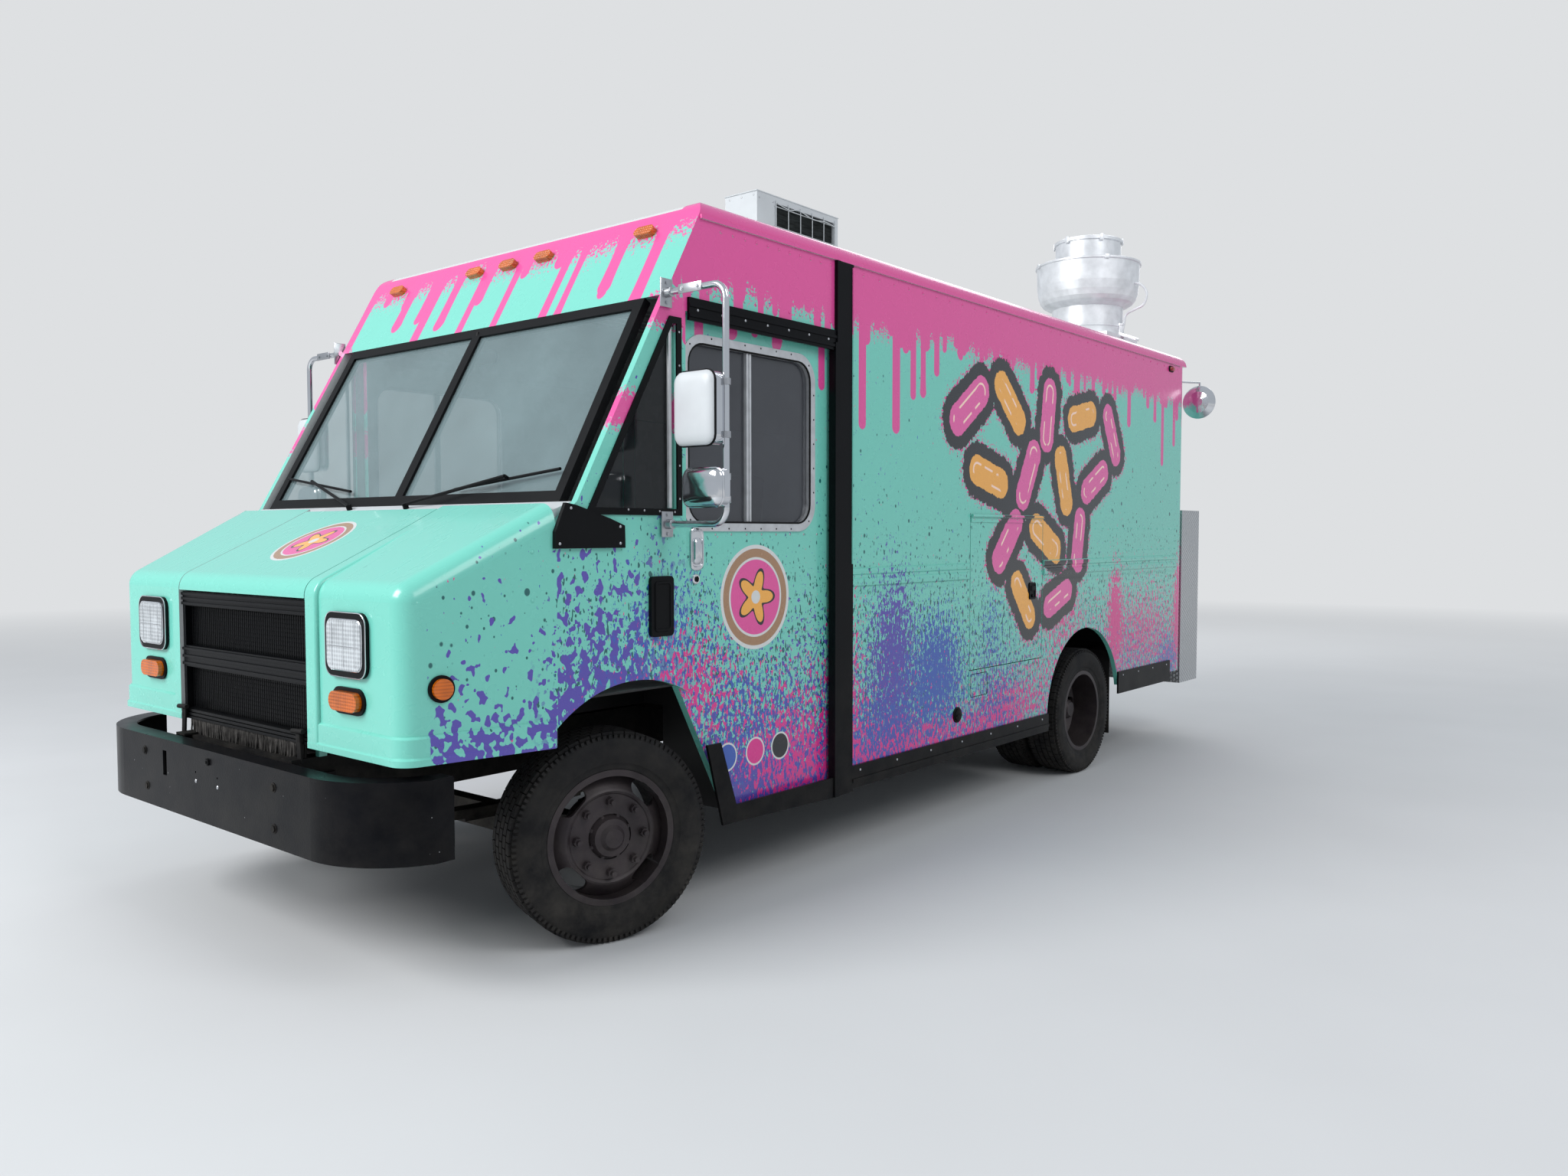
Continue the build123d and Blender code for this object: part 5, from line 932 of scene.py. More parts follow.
# %% The trees
def heads_tree(name, shape):
    """A rivet's dome or a bolt's hexagon and washer, set on every point along its facing."""
    tree, given = new_tree(name, {"Radius": 0.005, "Height": 0.002})
    if shape == "dome":
        ball = add_node(tree, "GeometryNodeMeshUVSphere", Segments=10, Rings=6, Radius=1.0)
        size = add_node(tree, "ShaderNodeCombineXYZ", X=given["Radius"], Y=given["Radius"], Z=given["Height"])
        dome = add_node(tree, "GeometryNodeTransform", Geometry=ball.outputs[0], Scale=size.outputs[0])
        head = dome.outputs[0]
    else:
        tall = calculate(tree, "MULTIPLY", given["Height"], 2.0)
        nut = add_node(tree, "GeometryNodeMeshCylinder", Vertices=6, Radius=given["Radius"], Depth=tall)
        wide = calculate(tree, "MULTIPLY", given["Radius"], 1.45)
        thin = calculate(tree, "MULTIPLY", given["Height"], 0.5)
        washer = add_node(tree, "GeometryNodeMeshCylinder", Vertices=16, Radius=wide, Depth=thin)
        pair = tree.nodes.new("GeometryNodeJoinGeometry")
        tree.links.new(nut.outputs[0], pair.inputs[0])
        tree.links.new(washer.outputs[0], pair.inputs[0])
        head = pair.outputs[0]
    way = add_node(tree, "GeometryNodeInputNamedAttribute", {"data_type": "FLOAT_VECTOR"}, Name="facing")
    lean = add_node(tree, "FunctionNodeAlignRotationToVector", {"axis": "Z"}, Vector=first(way))
    set_out = add_node(tree, "GeometryNodeInstanceOnPoints", Points=given["Geometry"], Instance=head,
                       Rotation=lean.outputs[0])
    return end_tree(tree, given, set_out.outputs[0])


RIVETS = heads_tree("rivets", "dome")
BOLTS = heads_tree("bolts", "hexagon")


def screen_tree():
    """A wire screen, upright in the XZ plane about the origin: wires both ways at one pitch."""
    tree, given = new_tree("wire_screen", {"Width": 0.5, "Height": 0.2, "Pitch": 0.02, "Wire": 0.001})
    parts = []
    for span, length, axis in (("Width", "Height", "X"), ("Height", "Width", "Z")):
        count = calculate(tree, "FLOOR", calculate(tree, "DIVIDE", given[span], given["Pitch"]), 0.0)
        reach = calculate(tree, "MULTIPLY", calculate(tree, "MULTIPLY", count, given["Pitch"]), -0.5)
        start = add_node(tree, "ShaderNodeCombineXYZ", **{axis: reach})
        if axis == "Z":
            tree.links.new(calculate(tree, "MULTIPLY", given["Wire"], 1.6), start.inputs["Y"])
        step = add_node(tree, "ShaderNodeCombineXYZ", **{axis: given["Pitch"]})
        line = add_node(tree, "GeometryNodeMeshLine", Count=calculate(tree, "ADD", count, 1.0),
                        Start_Location=start.outputs[0], Offset=step.outputs[0])
        wire = add_node(tree, "GeometryNodeMeshCylinder", Vertices=6, Radius=given["Wire"],
                        Depth=given[length])
        lean = (0.0, math.pi / 2, 0.0) if axis == "Z" else (0.0, 0.0, 0.0)
        laid = add_node(tree, "GeometryNodeTransform", Geometry=wire.outputs[0], Rotation=lean)
        parts.append(add_node(tree, "GeometryNodeInstanceOnPoints", Points=line.outputs[0],
                              Instance=laid.outputs[0]).outputs[0])
    return end_tree(tree, given, *parts)


def tread_tree():
    """Rows of blocks around the Z axis, each row a little further round than the last."""
    tree, given = new_tree("tread", {"Count": 56, "Radius": 0.4, "Block": (0.01, 0.03, 0.03), "Rows": 5,
                                     "Row Spacing": 0.036, "Shift": 0.05})
    circle = add_node(tree, "GeometryNodeMeshCircle", Vertices=given["Count"], Radius=given["Radius"])
    block = add_node(tree, "GeometryNodeMeshCube", Size=given["Block"])
    here = tree.nodes.new("GeometryNodeInputPosition")
    outward = add_node(tree, "FunctionNodeAlignRotationToVector", {"axis": "X", "pivot_axis": "Z"},
                       Vector=here.outputs[0])
    row = add_node(tree, "GeometryNodeInstanceOnPoints", Points=circle.outputs[0],
                   Instance=block.outputs[0], Rotation=outward.outputs[0])
    gaps = calculate(tree, "SUBTRACT", given["Rows"], 1.0)
    reach = calculate(tree, "MULTIPLY", calculate(tree, "MULTIPLY", gaps, given["Row Spacing"]), -0.5)
    start = add_node(tree, "ShaderNodeCombineXYZ", Z=reach)
    step = add_node(tree, "ShaderNodeCombineXYZ", Z=given["Row Spacing"])
    line = add_node(tree, "GeometryNodeMeshLine", Count=given["Rows"], Start_Location=start.outputs[0],
                    Offset=step.outputs[0])
    index = tree.nodes.new("GeometryNodeInputIndex")
    shift = calculate(tree, "MULTIPLY", index.outputs[0], given["Shift"])
    spin = add_node(tree, "ShaderNodeCombineXYZ", Z=shift)
    turn = add_node(tree, "FunctionNodeEulerToRotation", Euler=spin.outputs[0])
    rows = add_node(tree, "GeometryNodeInstanceOnPoints", Points=line.outputs[0], Instance=row.outputs[0],
                    Rotation=turn.outputs[0])
    return end_tree(tree, given, rows.outputs[0])


def slats_tree():
    """One plain slat repeated in a straight row about the origin."""
    tree, given = new_tree("slats", {"Count": 10, "Step": (0.01, 0.0, 0.0), "Slat": (0.001, 0.02, 0.2)})
    reach = calculate(tree, "MULTIPLY", calculate(tree, "SUBTRACT", given["Count"], 1.0), -0.5)
    start = add_node(tree, "ShaderNodeVectorMath", {"operation": "SCALE"}, Vector=given["Step"], Scale=reach)
    line = add_node(tree, "GeometryNodeMeshLine", Count=given["Count"], Start_Location=start.outputs[0],
                    Offset=given["Step"])
    slat = add_node(tree, "GeometryNodeMeshCube", Size=given["Slat"])
    row = add_node(tree, "GeometryNodeInstanceOnPoints", Points=line.outputs[0], Instance=slat.outputs[0])
    return end_tree(tree, given, row.outputs[0])


def bristle_tree():
    """Tufts that hang from a line along X, each with its own lean and length."""
    tree, given = new_tree("bristles", {"Count": 200, "Length": 0.9, "Drop": 0.08, "Thick": 0.003})
    step = calculate(tree, "DIVIDE", given["Length"], given["Count"])
    start = add_node(tree, "ShaderNodeCombineXYZ", X=calculate(tree, "MULTIPLY", given["Length"], -0.5))
    offset = add_node(tree, "ShaderNodeCombineXYZ", X=step)
    line = add_node(tree, "GeometryNodeMeshLine", Count=given["Count"], Start_Location=start.outputs[0],
                    Offset=offset.outputs[0])
    tip = calculate(tree, "MULTIPLY", given["Thick"], 0.5)
    tuft = add_node(tree, "GeometryNodeMeshCone", Vertices=5, Radius_Top=tip, Radius_Bottom=given["Thick"],
                    Depth=given["Drop"])
    hang = add_node(tree, "GeometryNodeTransform", Geometry=tuft.outputs[0], Rotation=(math.pi, 0.0, 0.0))
    lean = add_node(tree, "FunctionNodeRandomValue", {"data_type": "FLOAT_VECTOR"}, Min=(-0.10, -0.16, 0.0),
                    Max=(0.10, 0.16, 0.5), Seed=7)
    length = add_node(tree, "FunctionNodeRandomValue", {"data_type": "FLOAT_VECTOR"}, Min=(0.7, 0.7, 0.72),
                      Max=(1.3, 1.3, 1.05), Seed=11)
    turn = add_node(tree, "FunctionNodeEulerToRotation", Euler=first(lean))
    row = add_node(tree, "GeometryNodeInstanceOnPoints", Points=line.outputs[0], Instance=hang.outputs[0],
                   Rotation=turn.outputs[0], Scale=first(length))
    return end_tree(tree, given, row.outputs[0])


SCREEN = screen_tree()
TREAD = tread_tree()
SLATS = slats_tree()
BRISTLES = bristle_tree()
print("trees:", [tree.name for tree in bpy.data.node_groups])

# %% [markdown]
# ## Tyres
#
# A tyre is a turned carcass with moulded rings on its sidewall, and a tread of rubber blocks in
# five rows with fine cross cuts at the shoulders. A bump pattern would stay flat against the light
# at the edge, so the blocks are real. The front wheels stand turned, so each wheel carries its own
# axle direction, and its tyre is made upright and then moved on to that axle.

# %% Tyres
WHEEL_Z = 0.4055
STEER_TURN = math.radians(18)
KINGPIN = Vector((0.9, -2.51, WHEEL_Z))
KINGPIN_REACH = 0.140
REAR_WHEEL = Vector((1.062, 1.490, WHEEL_Z))
DUAL_GAP = 0.260
# The half section from rim to crown: distance from the tyre's middle plane, and radius
SIDEWALL = [(0.0880, 0.2483), (0.0890, 0.2560), (0.0960, 0.2620), (0.0985, 0.2660), (0.0985, 0.2720),
            (0.1040, 0.2880), (0.1052, 0.2890), (0.1062, 0.2950), (0.1102, 0.3100), (0.1128, 0.3280),
            (0.1128, 0.3400), (0.1108, 0.3520), (0.1108, 0.3560), (0.1096, 0.3680), (0.1050, 0.3800)]
CROWN = [(0.0900, 0.3930), (0.0700, 0.3950), (0.0, 0.3960)]
TREAD_SIZES = {"Count": 54, "Radius": 0.3990, "Block": (0.0125, 0.0425, 0.0290), "Rows": 5,
               "Row Spacing": 0.0365, "Shift": 0.046}
SHOULDER_SIZES = {"Count": 108, "Radius": 0.3835, "Block": (0.0260, 0.0125, 0.0110), "Rows": 2,
                  "Row Spacing": 0.1990, "Shift": 0.0}
TIRE_SIDES = 72


def wheel_places():
    """The body, the CAD tyre's name, and the centres and outboard direction of each wheel's tyres."""
    places = []
    for side, tag in SIDES:
        kingpin = Vector((side * KINGPIN.x, KINGPIN.y, KINGPIN.z))
        axle = Vector((side * math.cos(STEER_TURN), -side * math.sin(STEER_TURN), 0))
        centre = kingpin + axle * KINGPIN_REACH
        places.append((f"front_wheel_{tag}", f"front_tire_{tag}", [centre], (centre - kingpin).normalized()))
        outer = Vector((side * REAR_WHEEL.x, REAR_WHEEL.y, REAR_WHEEL.z))
        inner = outer - Vector((side * DUAL_GAP, 0, 0))
        places.append((f"rear_wheels_{tag}", f"rear_tires_{tag}", [outer, inner], Vector((side, 0, 0))))
    return places


def on_axle(centre, outboard):
    """The move that lays a shape made around Z on to a wheel's axle."""
    return Matrix.Translation(centre) @ Vector((0, 0, 1)).rotation_difference(outboard).to_matrix().to_4x4()


half_outline = SIDEWALL + CROWN
tire_outline = half_outline + [(-along, radius) for along, radius in reversed(half_outline[:-1])]
for body, node_name, centres, outboard in wheel_places():
    carcass = Form()
    for centre in centres:
        carcass.ring(centre, outboard, tire_outline, TIRE_SIDES)
    carcass.piece(node_name.replace("tire", "tire_carcass"), "tire_rubber", body, replaces=(node_name,))
    for number, centre in enumerate(centres):
        move = on_axle(centre, outboard)
        tread_name = node_name.replace("tire", "tread") + ("" if number == 0 else "_inner")
        grow(TREAD, tread_name, ONE_PLACE, TREAD_SIZES, "tire_rubber", body, turn=move)
        grow(TREAD, tread_name + "_shoulder", ONE_PLACE, SHOULDER_SIZES, "tire_rubber", body, turn=move)

# %% [markdown]
# Each wheel has a valve stem, and small bolts hold the front hubs' caps. Both turn with the wheel,
# so they ride on its body.

# %% Valve stems and hub bolts
CAP_BOLTS, CAP_CIRCLE, CAP_FACE = 8, 0.080, 0.0755
for body, node_name, centres, outboard in wheel_places():
    face = centres[0]
    up = Vector((0, 0, 1))
    ahead = outboard.cross(up)
    stem = Form()
    foot = face + ahead * 0.150 + up * 0.176 + outboard * 0.012
    stem.tube([foot, foot + outboard * 0.030, foot + outboard * 0.050 - (ahead + up) * 0.008], 0.004, 8, 4)
    stem.piece(node_name.replace("tire", "valve"), "steel", body)
    if "front" in node_name:
        turns = [2 * math.pi / CAP_BOLTS * (i + 0.5) for i in range(CAP_BOLTS)]
        ways = [ahead * math.cos(turn) + up * math.sin(turn) for turn in turns]
        bolts = [(face + outboard * CAP_FACE + way * CAP_CIRCLE, outboard) for way in ways]
        grow(BOLTS, node_name.replace("tire", "cap_bolts"), bolts, {"Radius": 0.006, "Height": 0.005},
             "wheel_grey", body)

# %% [markdown]
# ## The front
#
# Behind the grille's ribbed bars lies a woven wire screen, and a strip of bristles hangs between
# the grille and the bumper. Two rubber straps with T-shaped handles hold the panel. The lamps have
# thin bright rims, and one level and three upright lines part each headlight's lens.

# %% Grille screens, brush and straps
SCREEN_Y = -3.4195
SCREEN_SPANS = ((1.108, 1.272), (0.852, 1.023))
BRUSH_Y, BRUSH_Z = -3.434, 0.812
BRUSH_SIZES = {"Count": 190, "Length": 0.90, "Drop": 0.092, "Thick": 0.0034}
for number, (low_z, high_z) in enumerate(SCREEN_SPANS):
    grow(SCREEN, f"grille_screen_{number}", ONE_PLACE,
         {"Width": 0.968, "Height": high_z - low_z, "Pitch": 0.0165, "Wire": 0.0016}, "black_plastic", "van",
         turn=Matrix.Translation((0, SCREEN_Y, (low_z + high_z) / 2)))
for row, shift in enumerate((0.0, 0.011)):
    grow(BRISTLES, f"brush_{row}", ONE_PLACE, BRUSH_SIZES, "bristle", "van",
         turn=Matrix.Translation((0.002 * row, BRUSH_Y - shift, BRUSH_Z)))
straps = Form()
for x, lean in ((-0.478, 0.10), (0.452, -0.12)):
    turn = Matrix.Rotation(lean, 3, "Y")
    straps.block((x, -3.462, 0.800), (0.030, 0.010, 0.118), 0.004, turn)
    straps.block((x - 0.004, -3.466, 0.742), (0.042, 0.016, 0.020), 0.006, turn)
    straps.tube([(x - 0.036, -3.468, 0.858), (x + 0.040, -3.468, 0.862)], 0.009, 10)
    straps.block((x, -3.458, 0.842), (0.022, 0.020, 0.050), 0.005, turn)
straps.piece("grille_straps", "rubber", "van")

# %% Lamp rims and joints
PANEL_FACE_Y = -3.446
LAMP_X, LAMP_Z = 0.770, 1.188
# Each rim: width, height, corner radius, distance before the panel, thickness of the wire
LAMP_RIMS = ((0.217, 0.173, 0.031, 0.0175, 0.0032), (0.2545, 0.2205, 0.044, 0.0150, 0.0022))
JOINT_Y = PANEL_FACE_Y - 0.0222
rims = Form()
joints = Form()
for side, tag in SIDES:
    for wide, tall, radius, before, thick in LAMP_RIMS:
        line = on_face(side * LAMP_X, PANEL_FACE_Y - before, LAMP_Z, rounded(wide, tall, radius, 6))
        rims.tube(line, thick, 8, loop=True)
    joints.block((side * LAMP_X, JOINT_Y, LAMP_Z - 0.005), (0.196, 0.0016, 0.0026), 0.0005)
    for across in (-0.072, 0.0, 0.072):
        joints.block((side * LAMP_X + across, JOINT_Y, LAMP_Z), (0.0016, 0.0012, 0.150), 0.0004)
rims.piece("lamp_rims", "chrome", "van")
joints.piece("lens_joints", "steel", "van")

# %% Bumper bolts
BUMPER_FACE_Y = -3.590
BUMPER_BOLTS = ((0.512, 0.686), (0.512, 0.542), (-0.545, 0.690), (-0.530, 0.548))
PLATE_BOLTS = ((-0.089, 0.626), (0.089, 0.626))
BOSS_X, BOSS_Z = 0.016, 0.712
for name, spots, tree, sizes, look in (
        ("bumper_bolts", BUMPER_BOLTS, BOLTS, {"Radius": 0.0125, "Height": 0.0065}, "chassis_black"),
        ("plate_bolt_heads", PLATE_BOLTS, RIVETS, {"Radius": 0.0075, "Height": 0.0030}, "steel")):
    grow(tree, name, [((x, BUMPER_FACE_Y, z), (0, -1, 0)) for x, z in spots], sizes, look, "van")
boss = Form()
boss.block((BOSS_X, BUMPER_FACE_Y - 0.003, BOSS_Z), (0.026, 0.010, 0.024), 0.003)
boss.block((BOSS_X, BUMPER_FACE_Y - 0.009, BOSS_Z), (0.012, 0.004, 0.010), 0.001)
boss.piece("bumper_boss", "black_plastic", "van")

# %% [markdown]
# ## The cab's sides
#
# A round-topped pull and a lock cup sit on each sliding door. The door slides behind the wall, so
# the fittings on its rear half stand out no more than three millimetres. Small screws hold the
# window's ring, and a light strip parts the vent window.

# %% Door fittings
DOOR_X = 1.144
RING_X = 1.152
VENT_X = 1.188
PULL_Y, PULL_Z = -2.136, 1.502
LOCK_Y, LOCK_Z = -2.142, 1.379
WINDOW_Y, WINDOW_Z = -1.790, 1.970
SCREW_PITCH = 0.098
PULL_PLATE = ((0.0002, 1.0), (0.005, 1.0), (0.008, 0.955), (0.008, 0.86), (0.0035, 0.80), (0.003, 0.0))
PULL_GRIP = ((0.0, 1.0), (0.007, 0.97), (0.014, 0.80), (0.016, 0.45), (0.0165, 0.0))
LOCK_CUP = ((0.0, 0.021), (0.006, 0.021), (0.009, 0.018), (0.009, 0.0135), (0.004, 0.012), (0.004, 0.0))
LOCK_CORE = ((0.0, 0.0108), (0.003, 0.0104), (0.0036, 0.0))


def ring_screws(side):
    """Screws round the window's ring: evenly along its straights, and one in each corner."""
    around = smooth_path([(0, y, z) for y, z in rounded(0.842, 0.772, 0.111, 3)], 1, loop=True)
    screws = []
    for i, near in enumerate(around):
        far = around[(i + 1) % len(around)]
        length = (far - near).length
        count = max(int(length / SCREW_PITCH), 1)
        for step in range(count if length > 0.08 else (i % 4 == 1)):
            spot = near.lerp(far, (step + 0.5) / count)
            screws.append(((side * RING_X, WINDOW_Y + spot.y, WINDOW_Z + spot.z), (side, 0, 0)))
    return screws


for side, tag in SIDES:
    body = f"cab_door_{tag}"
    out = Vector((side, 0, 0))
    pull = Form()
    pull.pad(on_wall(side * DOOR_X, PULL_Y, PULL_Z, rounded(0.078, 0.176, 0.030)), out, PULL_PLATE)
    pull.pad(on_wall(side * (DOOR_X + 0.002), PULL_Y, PULL_Z - 0.010, rounded(0.046, 0.110, 0.018)), out,
             PULL_GRIP)
    pull.turned((side * DOOR_X, LOCK_Y, LOCK_Z), out, LOCK_CUP)
    pull.piece(f"door_pull_{tag}", "chrome", body)
    lock = Form().turned((side * (DOOR_X + 0.0036), LOCK_Y, LOCK_Z), out, LOCK_CORE)
    lock.piece(f"door_lock_{tag}", "black_plastic", body)

    under_window = [((side * DOOR_X, -2.02 + SCREW_PITCH * i, 1.560), out) for i in range(8)]
    grow(RIVETS, f"door_rivets_{tag}", under_window, {"Radius": 0.0055, "Height": 0.0022}, "steel", body)
    grow(RIVETS, f"window_screws_{tag}", ring_screws(side), {"Radius": 0.0042, "Height": 0.0014},
         "black_plastic", body)
    gasket_line = on_wall(side * 1.1505, WINDOW_Y, WINDOW_Z, rounded(0.790, 0.720, 0.085, 6))
    Form().tube(gasket_line, 0.0045, 6, loop=True).piece(f"window_gasket_{tag}", "rubber", body)
    mullion = Form()
    for shift in (-0.009, 0.009):
        mullion.block((side * 1.1435, -1.810 + shift, WINDOW_Z), (0.006, 0.013, 0.716), 0.002)
    mullion.piece(f"window_bars_{tag}", "aluminium", body)

    vent = Form().block((side * 1.176, -2.318, 2.020), (0.014, 0.016, 0.715), 0.003)
    vent.piece(f"vent_bar_{tag}", "aluminium", "van")
    vent_edge = [(side * VENT_X, -2.272, z) for z in (1.70, 1.83, 1.96, 2.09, 2.22, 2.35)]
    vent_edge += [(side * VENT_X, -2.30 - 0.082 * i, 1.648 + 0.002 * i) for i in range(4)]
    grow(RIVETS, f"vent_screws_{tag}", [(spot, out) for spot in vent_edge],
         {"Radius": 0.0045, "Height": 0.0016}, "steel", "van")

# %% [markdown]
# ## Mirrors
#
# Collars clamp the heads to their tube, and flat brackets with two bolts hold the tube to the
# body. The backs of the heads are crowned shells: the upper one white with a dark rim, the lower
# one bright. A crowned shell is a pad whose outline shrinks as it rises.

# %% Mirror shells, collars and brackets
ARM_X = 1.500
ARM_Y = -2.346
# Each head: distance inside the arm, height, width, length, corner radius, place of its back
MIRROR_HEADS = ((0.100, 2.028, 0.200, 0.275, 0.038, -2.405, "white_metal", "black_plastic"),
                (0.070, 1.735, 0.200, 0.140, 0.034, -2.395, "chrome", "chrome"))
COLLAR_HEIGHTS = (2.125, 1.930, 1.775, 1.690)
BRACKET_TOP, BRACKET_FOOT = 2.490, 1.600
CROWN_STEPS = ((0.0, 1.0), (0.006, 1.0), (0.013, 0.965), (0.020, 0.87), (0.0235, 0.70), (0.0250, 0.40),
               (0.0255, 0.0))
COLLAR = ((0, 0.0145), (0.001, 0.0185), (0.025, 0.0185), (0.026, 0.0145))
SOCKET = ((0, 0.0145), (0.002, 0.0200), (0.030, 0.0190), (0.032, 0.0140))
for side, tag in SIDES:
    out = (side, 0, 0)
    for number, (inside, z, wide, tall, radius, y, shell_look, rim_look) in enumerate(MIRROR_HEADS):
        ring = on_face(side * (ARM_X - inside), y, z, rounded(wide, tall, radius))
        Form().pad(ring, (0, -1, 0), CROWN_STEPS).piece(f"mirror_shell_{tag}_{number}", shell_look, "van")
        Form().tube(ring, 0.0055, 8, loop=True).piece(f"mirror_rim_{tag}_{number}", rim_look, "van")
    clamps = Form()
    for z in COLLAR_HEIGHTS:
        clamps.turned((side * ARM_X, ARM_Y, z - 0.013), (0, 0, 1), COLLAR, 20)
        clamps.block((side * (ARM_X - 0.028), ARM_Y - 0.004, z), (0.030, 0.012, 0.022), 0.002)
    for z, tall in ((BRACKET_TOP, 0.110), (BRACKET_FOOT, 0.100)):
        clamps.block((side * (OUT_X + 0.010), ARM_Y, z), (0.006, 0.062, tall), 0.002)
        clamps.turned((side * (OUT_X + 0.012), ARM_Y, z), out, SOCKET, 20)
    clamps.block((side * (OUT_X + 0.150), ARM_Y - 0.014, BRACKET_TOP), (0.120, 0.005, 0.036), 0.002)
    clamps.piece(f"mirror_clamps_{tag}", "steel", "van")
    bolts = [((side * (OUT_X + 0.013), ARM_Y, z + shift), out) for z in (BRACKET_TOP, BRACKET_FOOT)
             for shift in (-0.038, 0.038)]
    bolts += [((side * (OUT_X + 0.150 + shift), ARM_Y - 0.0165, BRACKET_TOP), (0, -1, 0))
              for shift in (-0.04, 0.04)]
    grow(BOLTS, f"mirror_bolts_{tag}", bolts, {"Radius": 0.0065, "Height": 0.004}, "steel", "van")

# %% [markdown]
# ## Rivets and seams
#
# The body is riveted sheet. The rows are written as runs, each with its start, end and pitch, and
# the rivet tree sets a small dome on every point. They take the body's paint where they are
# painted over, and stay bright where they were driven later.

# %% Rivet rows
def run(start, end, pitch, facing):
    """Places from start to end at about one pitch, all facing one way."""
    start, end = Vector(start), Vector(end)
    count = max(round((end - start).length / pitch), 1)
    return [(start.lerp(end, i / count), facing) for i in range(count + 1)]


# Each row on a wall: start (y, z), end (y, z), pitch
BOTH_WALLS = (((-1.02, 2.787), (3.04, 2.787), 0.13), ((-2.02, 2.787), (-1.28, 2.787), 0.075),
              ((-2.10, 2.530), (-1.28, 2.530), 0.075), ((-2.246, 1.020), (-2.246, 2.380), 0.085))
LEFT_WALL = (((1.50, 1.598), (3.04, 1.598), 0.115), ((2.00, 1.452), (3.04, 1.452), 0.115))
RIGHT_WALL = (((-0.34, 2.36), (1.62, 2.36), 0.115),)
RAIL_ROWS = (((-1.05, 0.428), (0.86, 0.428), 0.32), ((-2.17, 2.449), (-1.31, 2.449), 0.14),
             ((2.08, 0.585), (2.88, 0.585), 0.27))
RAIL_OUT = 0.012
FENDER_EDGE_X, FENDER_EDGE_Y = 1.1646, -2.98
BEAD_Y = -1.1205


def wall_rows(side, x, rows):
    """The runs of a table of rows, at a distance from the middle."""
    spots = []
    for (start_y, start_z), (end_y, end_z), pitch in rows:
        spots += run((side * x, start_y, start_z), (side * x, end_y, end_z), pitch, (side, 0, 0))
    return spots


for side, tag in SIDES:
    painted = wall_rows(side, OUT_X, BOTH_WALLS + (LEFT_WALL if side > 0 else RIGHT_WALL))
    painted += [((side * FENDER_EDGE_X, FENDER_EDGE_Y, z), (side * 0.9857, -0.1685, 0))
                for z in (1.50, 1.33, 1.16)]
    grow(RIVETS, f"wall_rivets_{tag}", painted, {"Radius": 0.0075, "Height": 0.0042}, "body_paint", "van")
    bolts = wall_rows(side, OUT_X + RAIL_OUT, RAIL_ROWS)
    grow(RIVETS, f"rail_bolts_{tag}", bolts, {"Radius": 0.0062, "Height": 0.0030}, "steel", "van")
    bead_x = side * (OUT_X + 0.0125)
    bead = Form().tube([(bead_x, BEAD_Y, 1.42), (bead_x, BEAD_Y, 2.80)], 0.006, 8)
    bead.piece(f"post_bead_{tag}", "body_paint", "van")

# %% [markdown]
# ## Left side fittings
#
# A flush slam latch holds the side hatch, and a round black cap and a fuel flap sit low behind the
# cab door. On both sides of the van, a plain lid closes the vent box behind the fender, and four
# screws hold the black pod at the foot of the windshield's pillar.

# %% Hatch latch, cap and flap
LEFT = (1, 0, 0)
LATCH_Y = 0.730
CAP_Y, CAP_Z = -0.133, 0.579
FLAP_Y, FLAP_Z = 0.097, 0.722
LATCH_STEPS = ((0.0003, 1.0), (0.004, 1.0), (0.006, 0.96), (0.006, 0.78), (0.0015, 0.74), (0.0015, 0.0))
LATCH_KEY = ((0, 0.009), (0.006, 0.009), (0.0075, 0.007), (0.0075, 0))
CAP_PROFILE = ((0, 0.043), (0.004, 0.043), (0.007, 0.040), (0.007, 0.034), (0.012, 0.033), (0.014, 0.030),
               (0.014, 0.0))
FLAP_KNOB = ((0, 0.011), (0.003, 0.011), (0.0045, 0.009), (0.0045, 0))
latch = Form()
latch.pad(on_wall(OUT_X, LATCH_Y, 1.220, rounded(0.084, 0.100, 0.012)), LEFT, LATCH_STEPS)
latch.block((OUT_X + 0.0045, LATCH_Y, 1.236), (0.007, 0.050, 0.030), 0.003)
latch.turned((OUT_X + 0.001, LATCH_Y, 1.192), LEFT, LATCH_KEY, 16)
latch.piece("hatch_latch", "black_plastic", "side_hatch")
hatch_screws = run((OUT_X + 0.005, 0.03, 1.641), (OUT_X + 0.005, 0.83, 1.641), 0.10, LEFT)
grow(RIVETS, "hatch_screws", hatch_screws, {"Radius": 0.0048, "Height": 0.0022}, "steel", "side_hatch")
cap = Form()
cap.turned((OUT_X, CAP_Y, CAP_Z), LEFT, CAP_PROFILE, 32)
cap.block((OUT_X + 0.015, CAP_Y, CAP_Z), (0.008, 0.052, 0.012), 0.003)
cap.piece("round_cap", "black_plastic", "van")
flap_line = on_wall(OUT_X + 0.0042, FLAP_Y, FLAP_Z, rounded(0.182, 0.126, 0.012))
Form().tube(flap_line, 0.0017, 6, loop=True).piece("flap_gap", "rubber", "van")
hinges = Form()
for z in (FLAP_Z - 0.032, FLAP_Z + 0.032):
    hinges.turned((OUT_X + 0.006, 0.004, z - 0.016), (0, 0, 1), ((0, 0.0042), (0.032, 0.0042)), 12)
hinges.turned((OUT_X + 0.0035, 0.166, FLAP_Z), LEFT, FLAP_KNOB, 20)
hinges.piece("flap_hinges", "steel", "van")

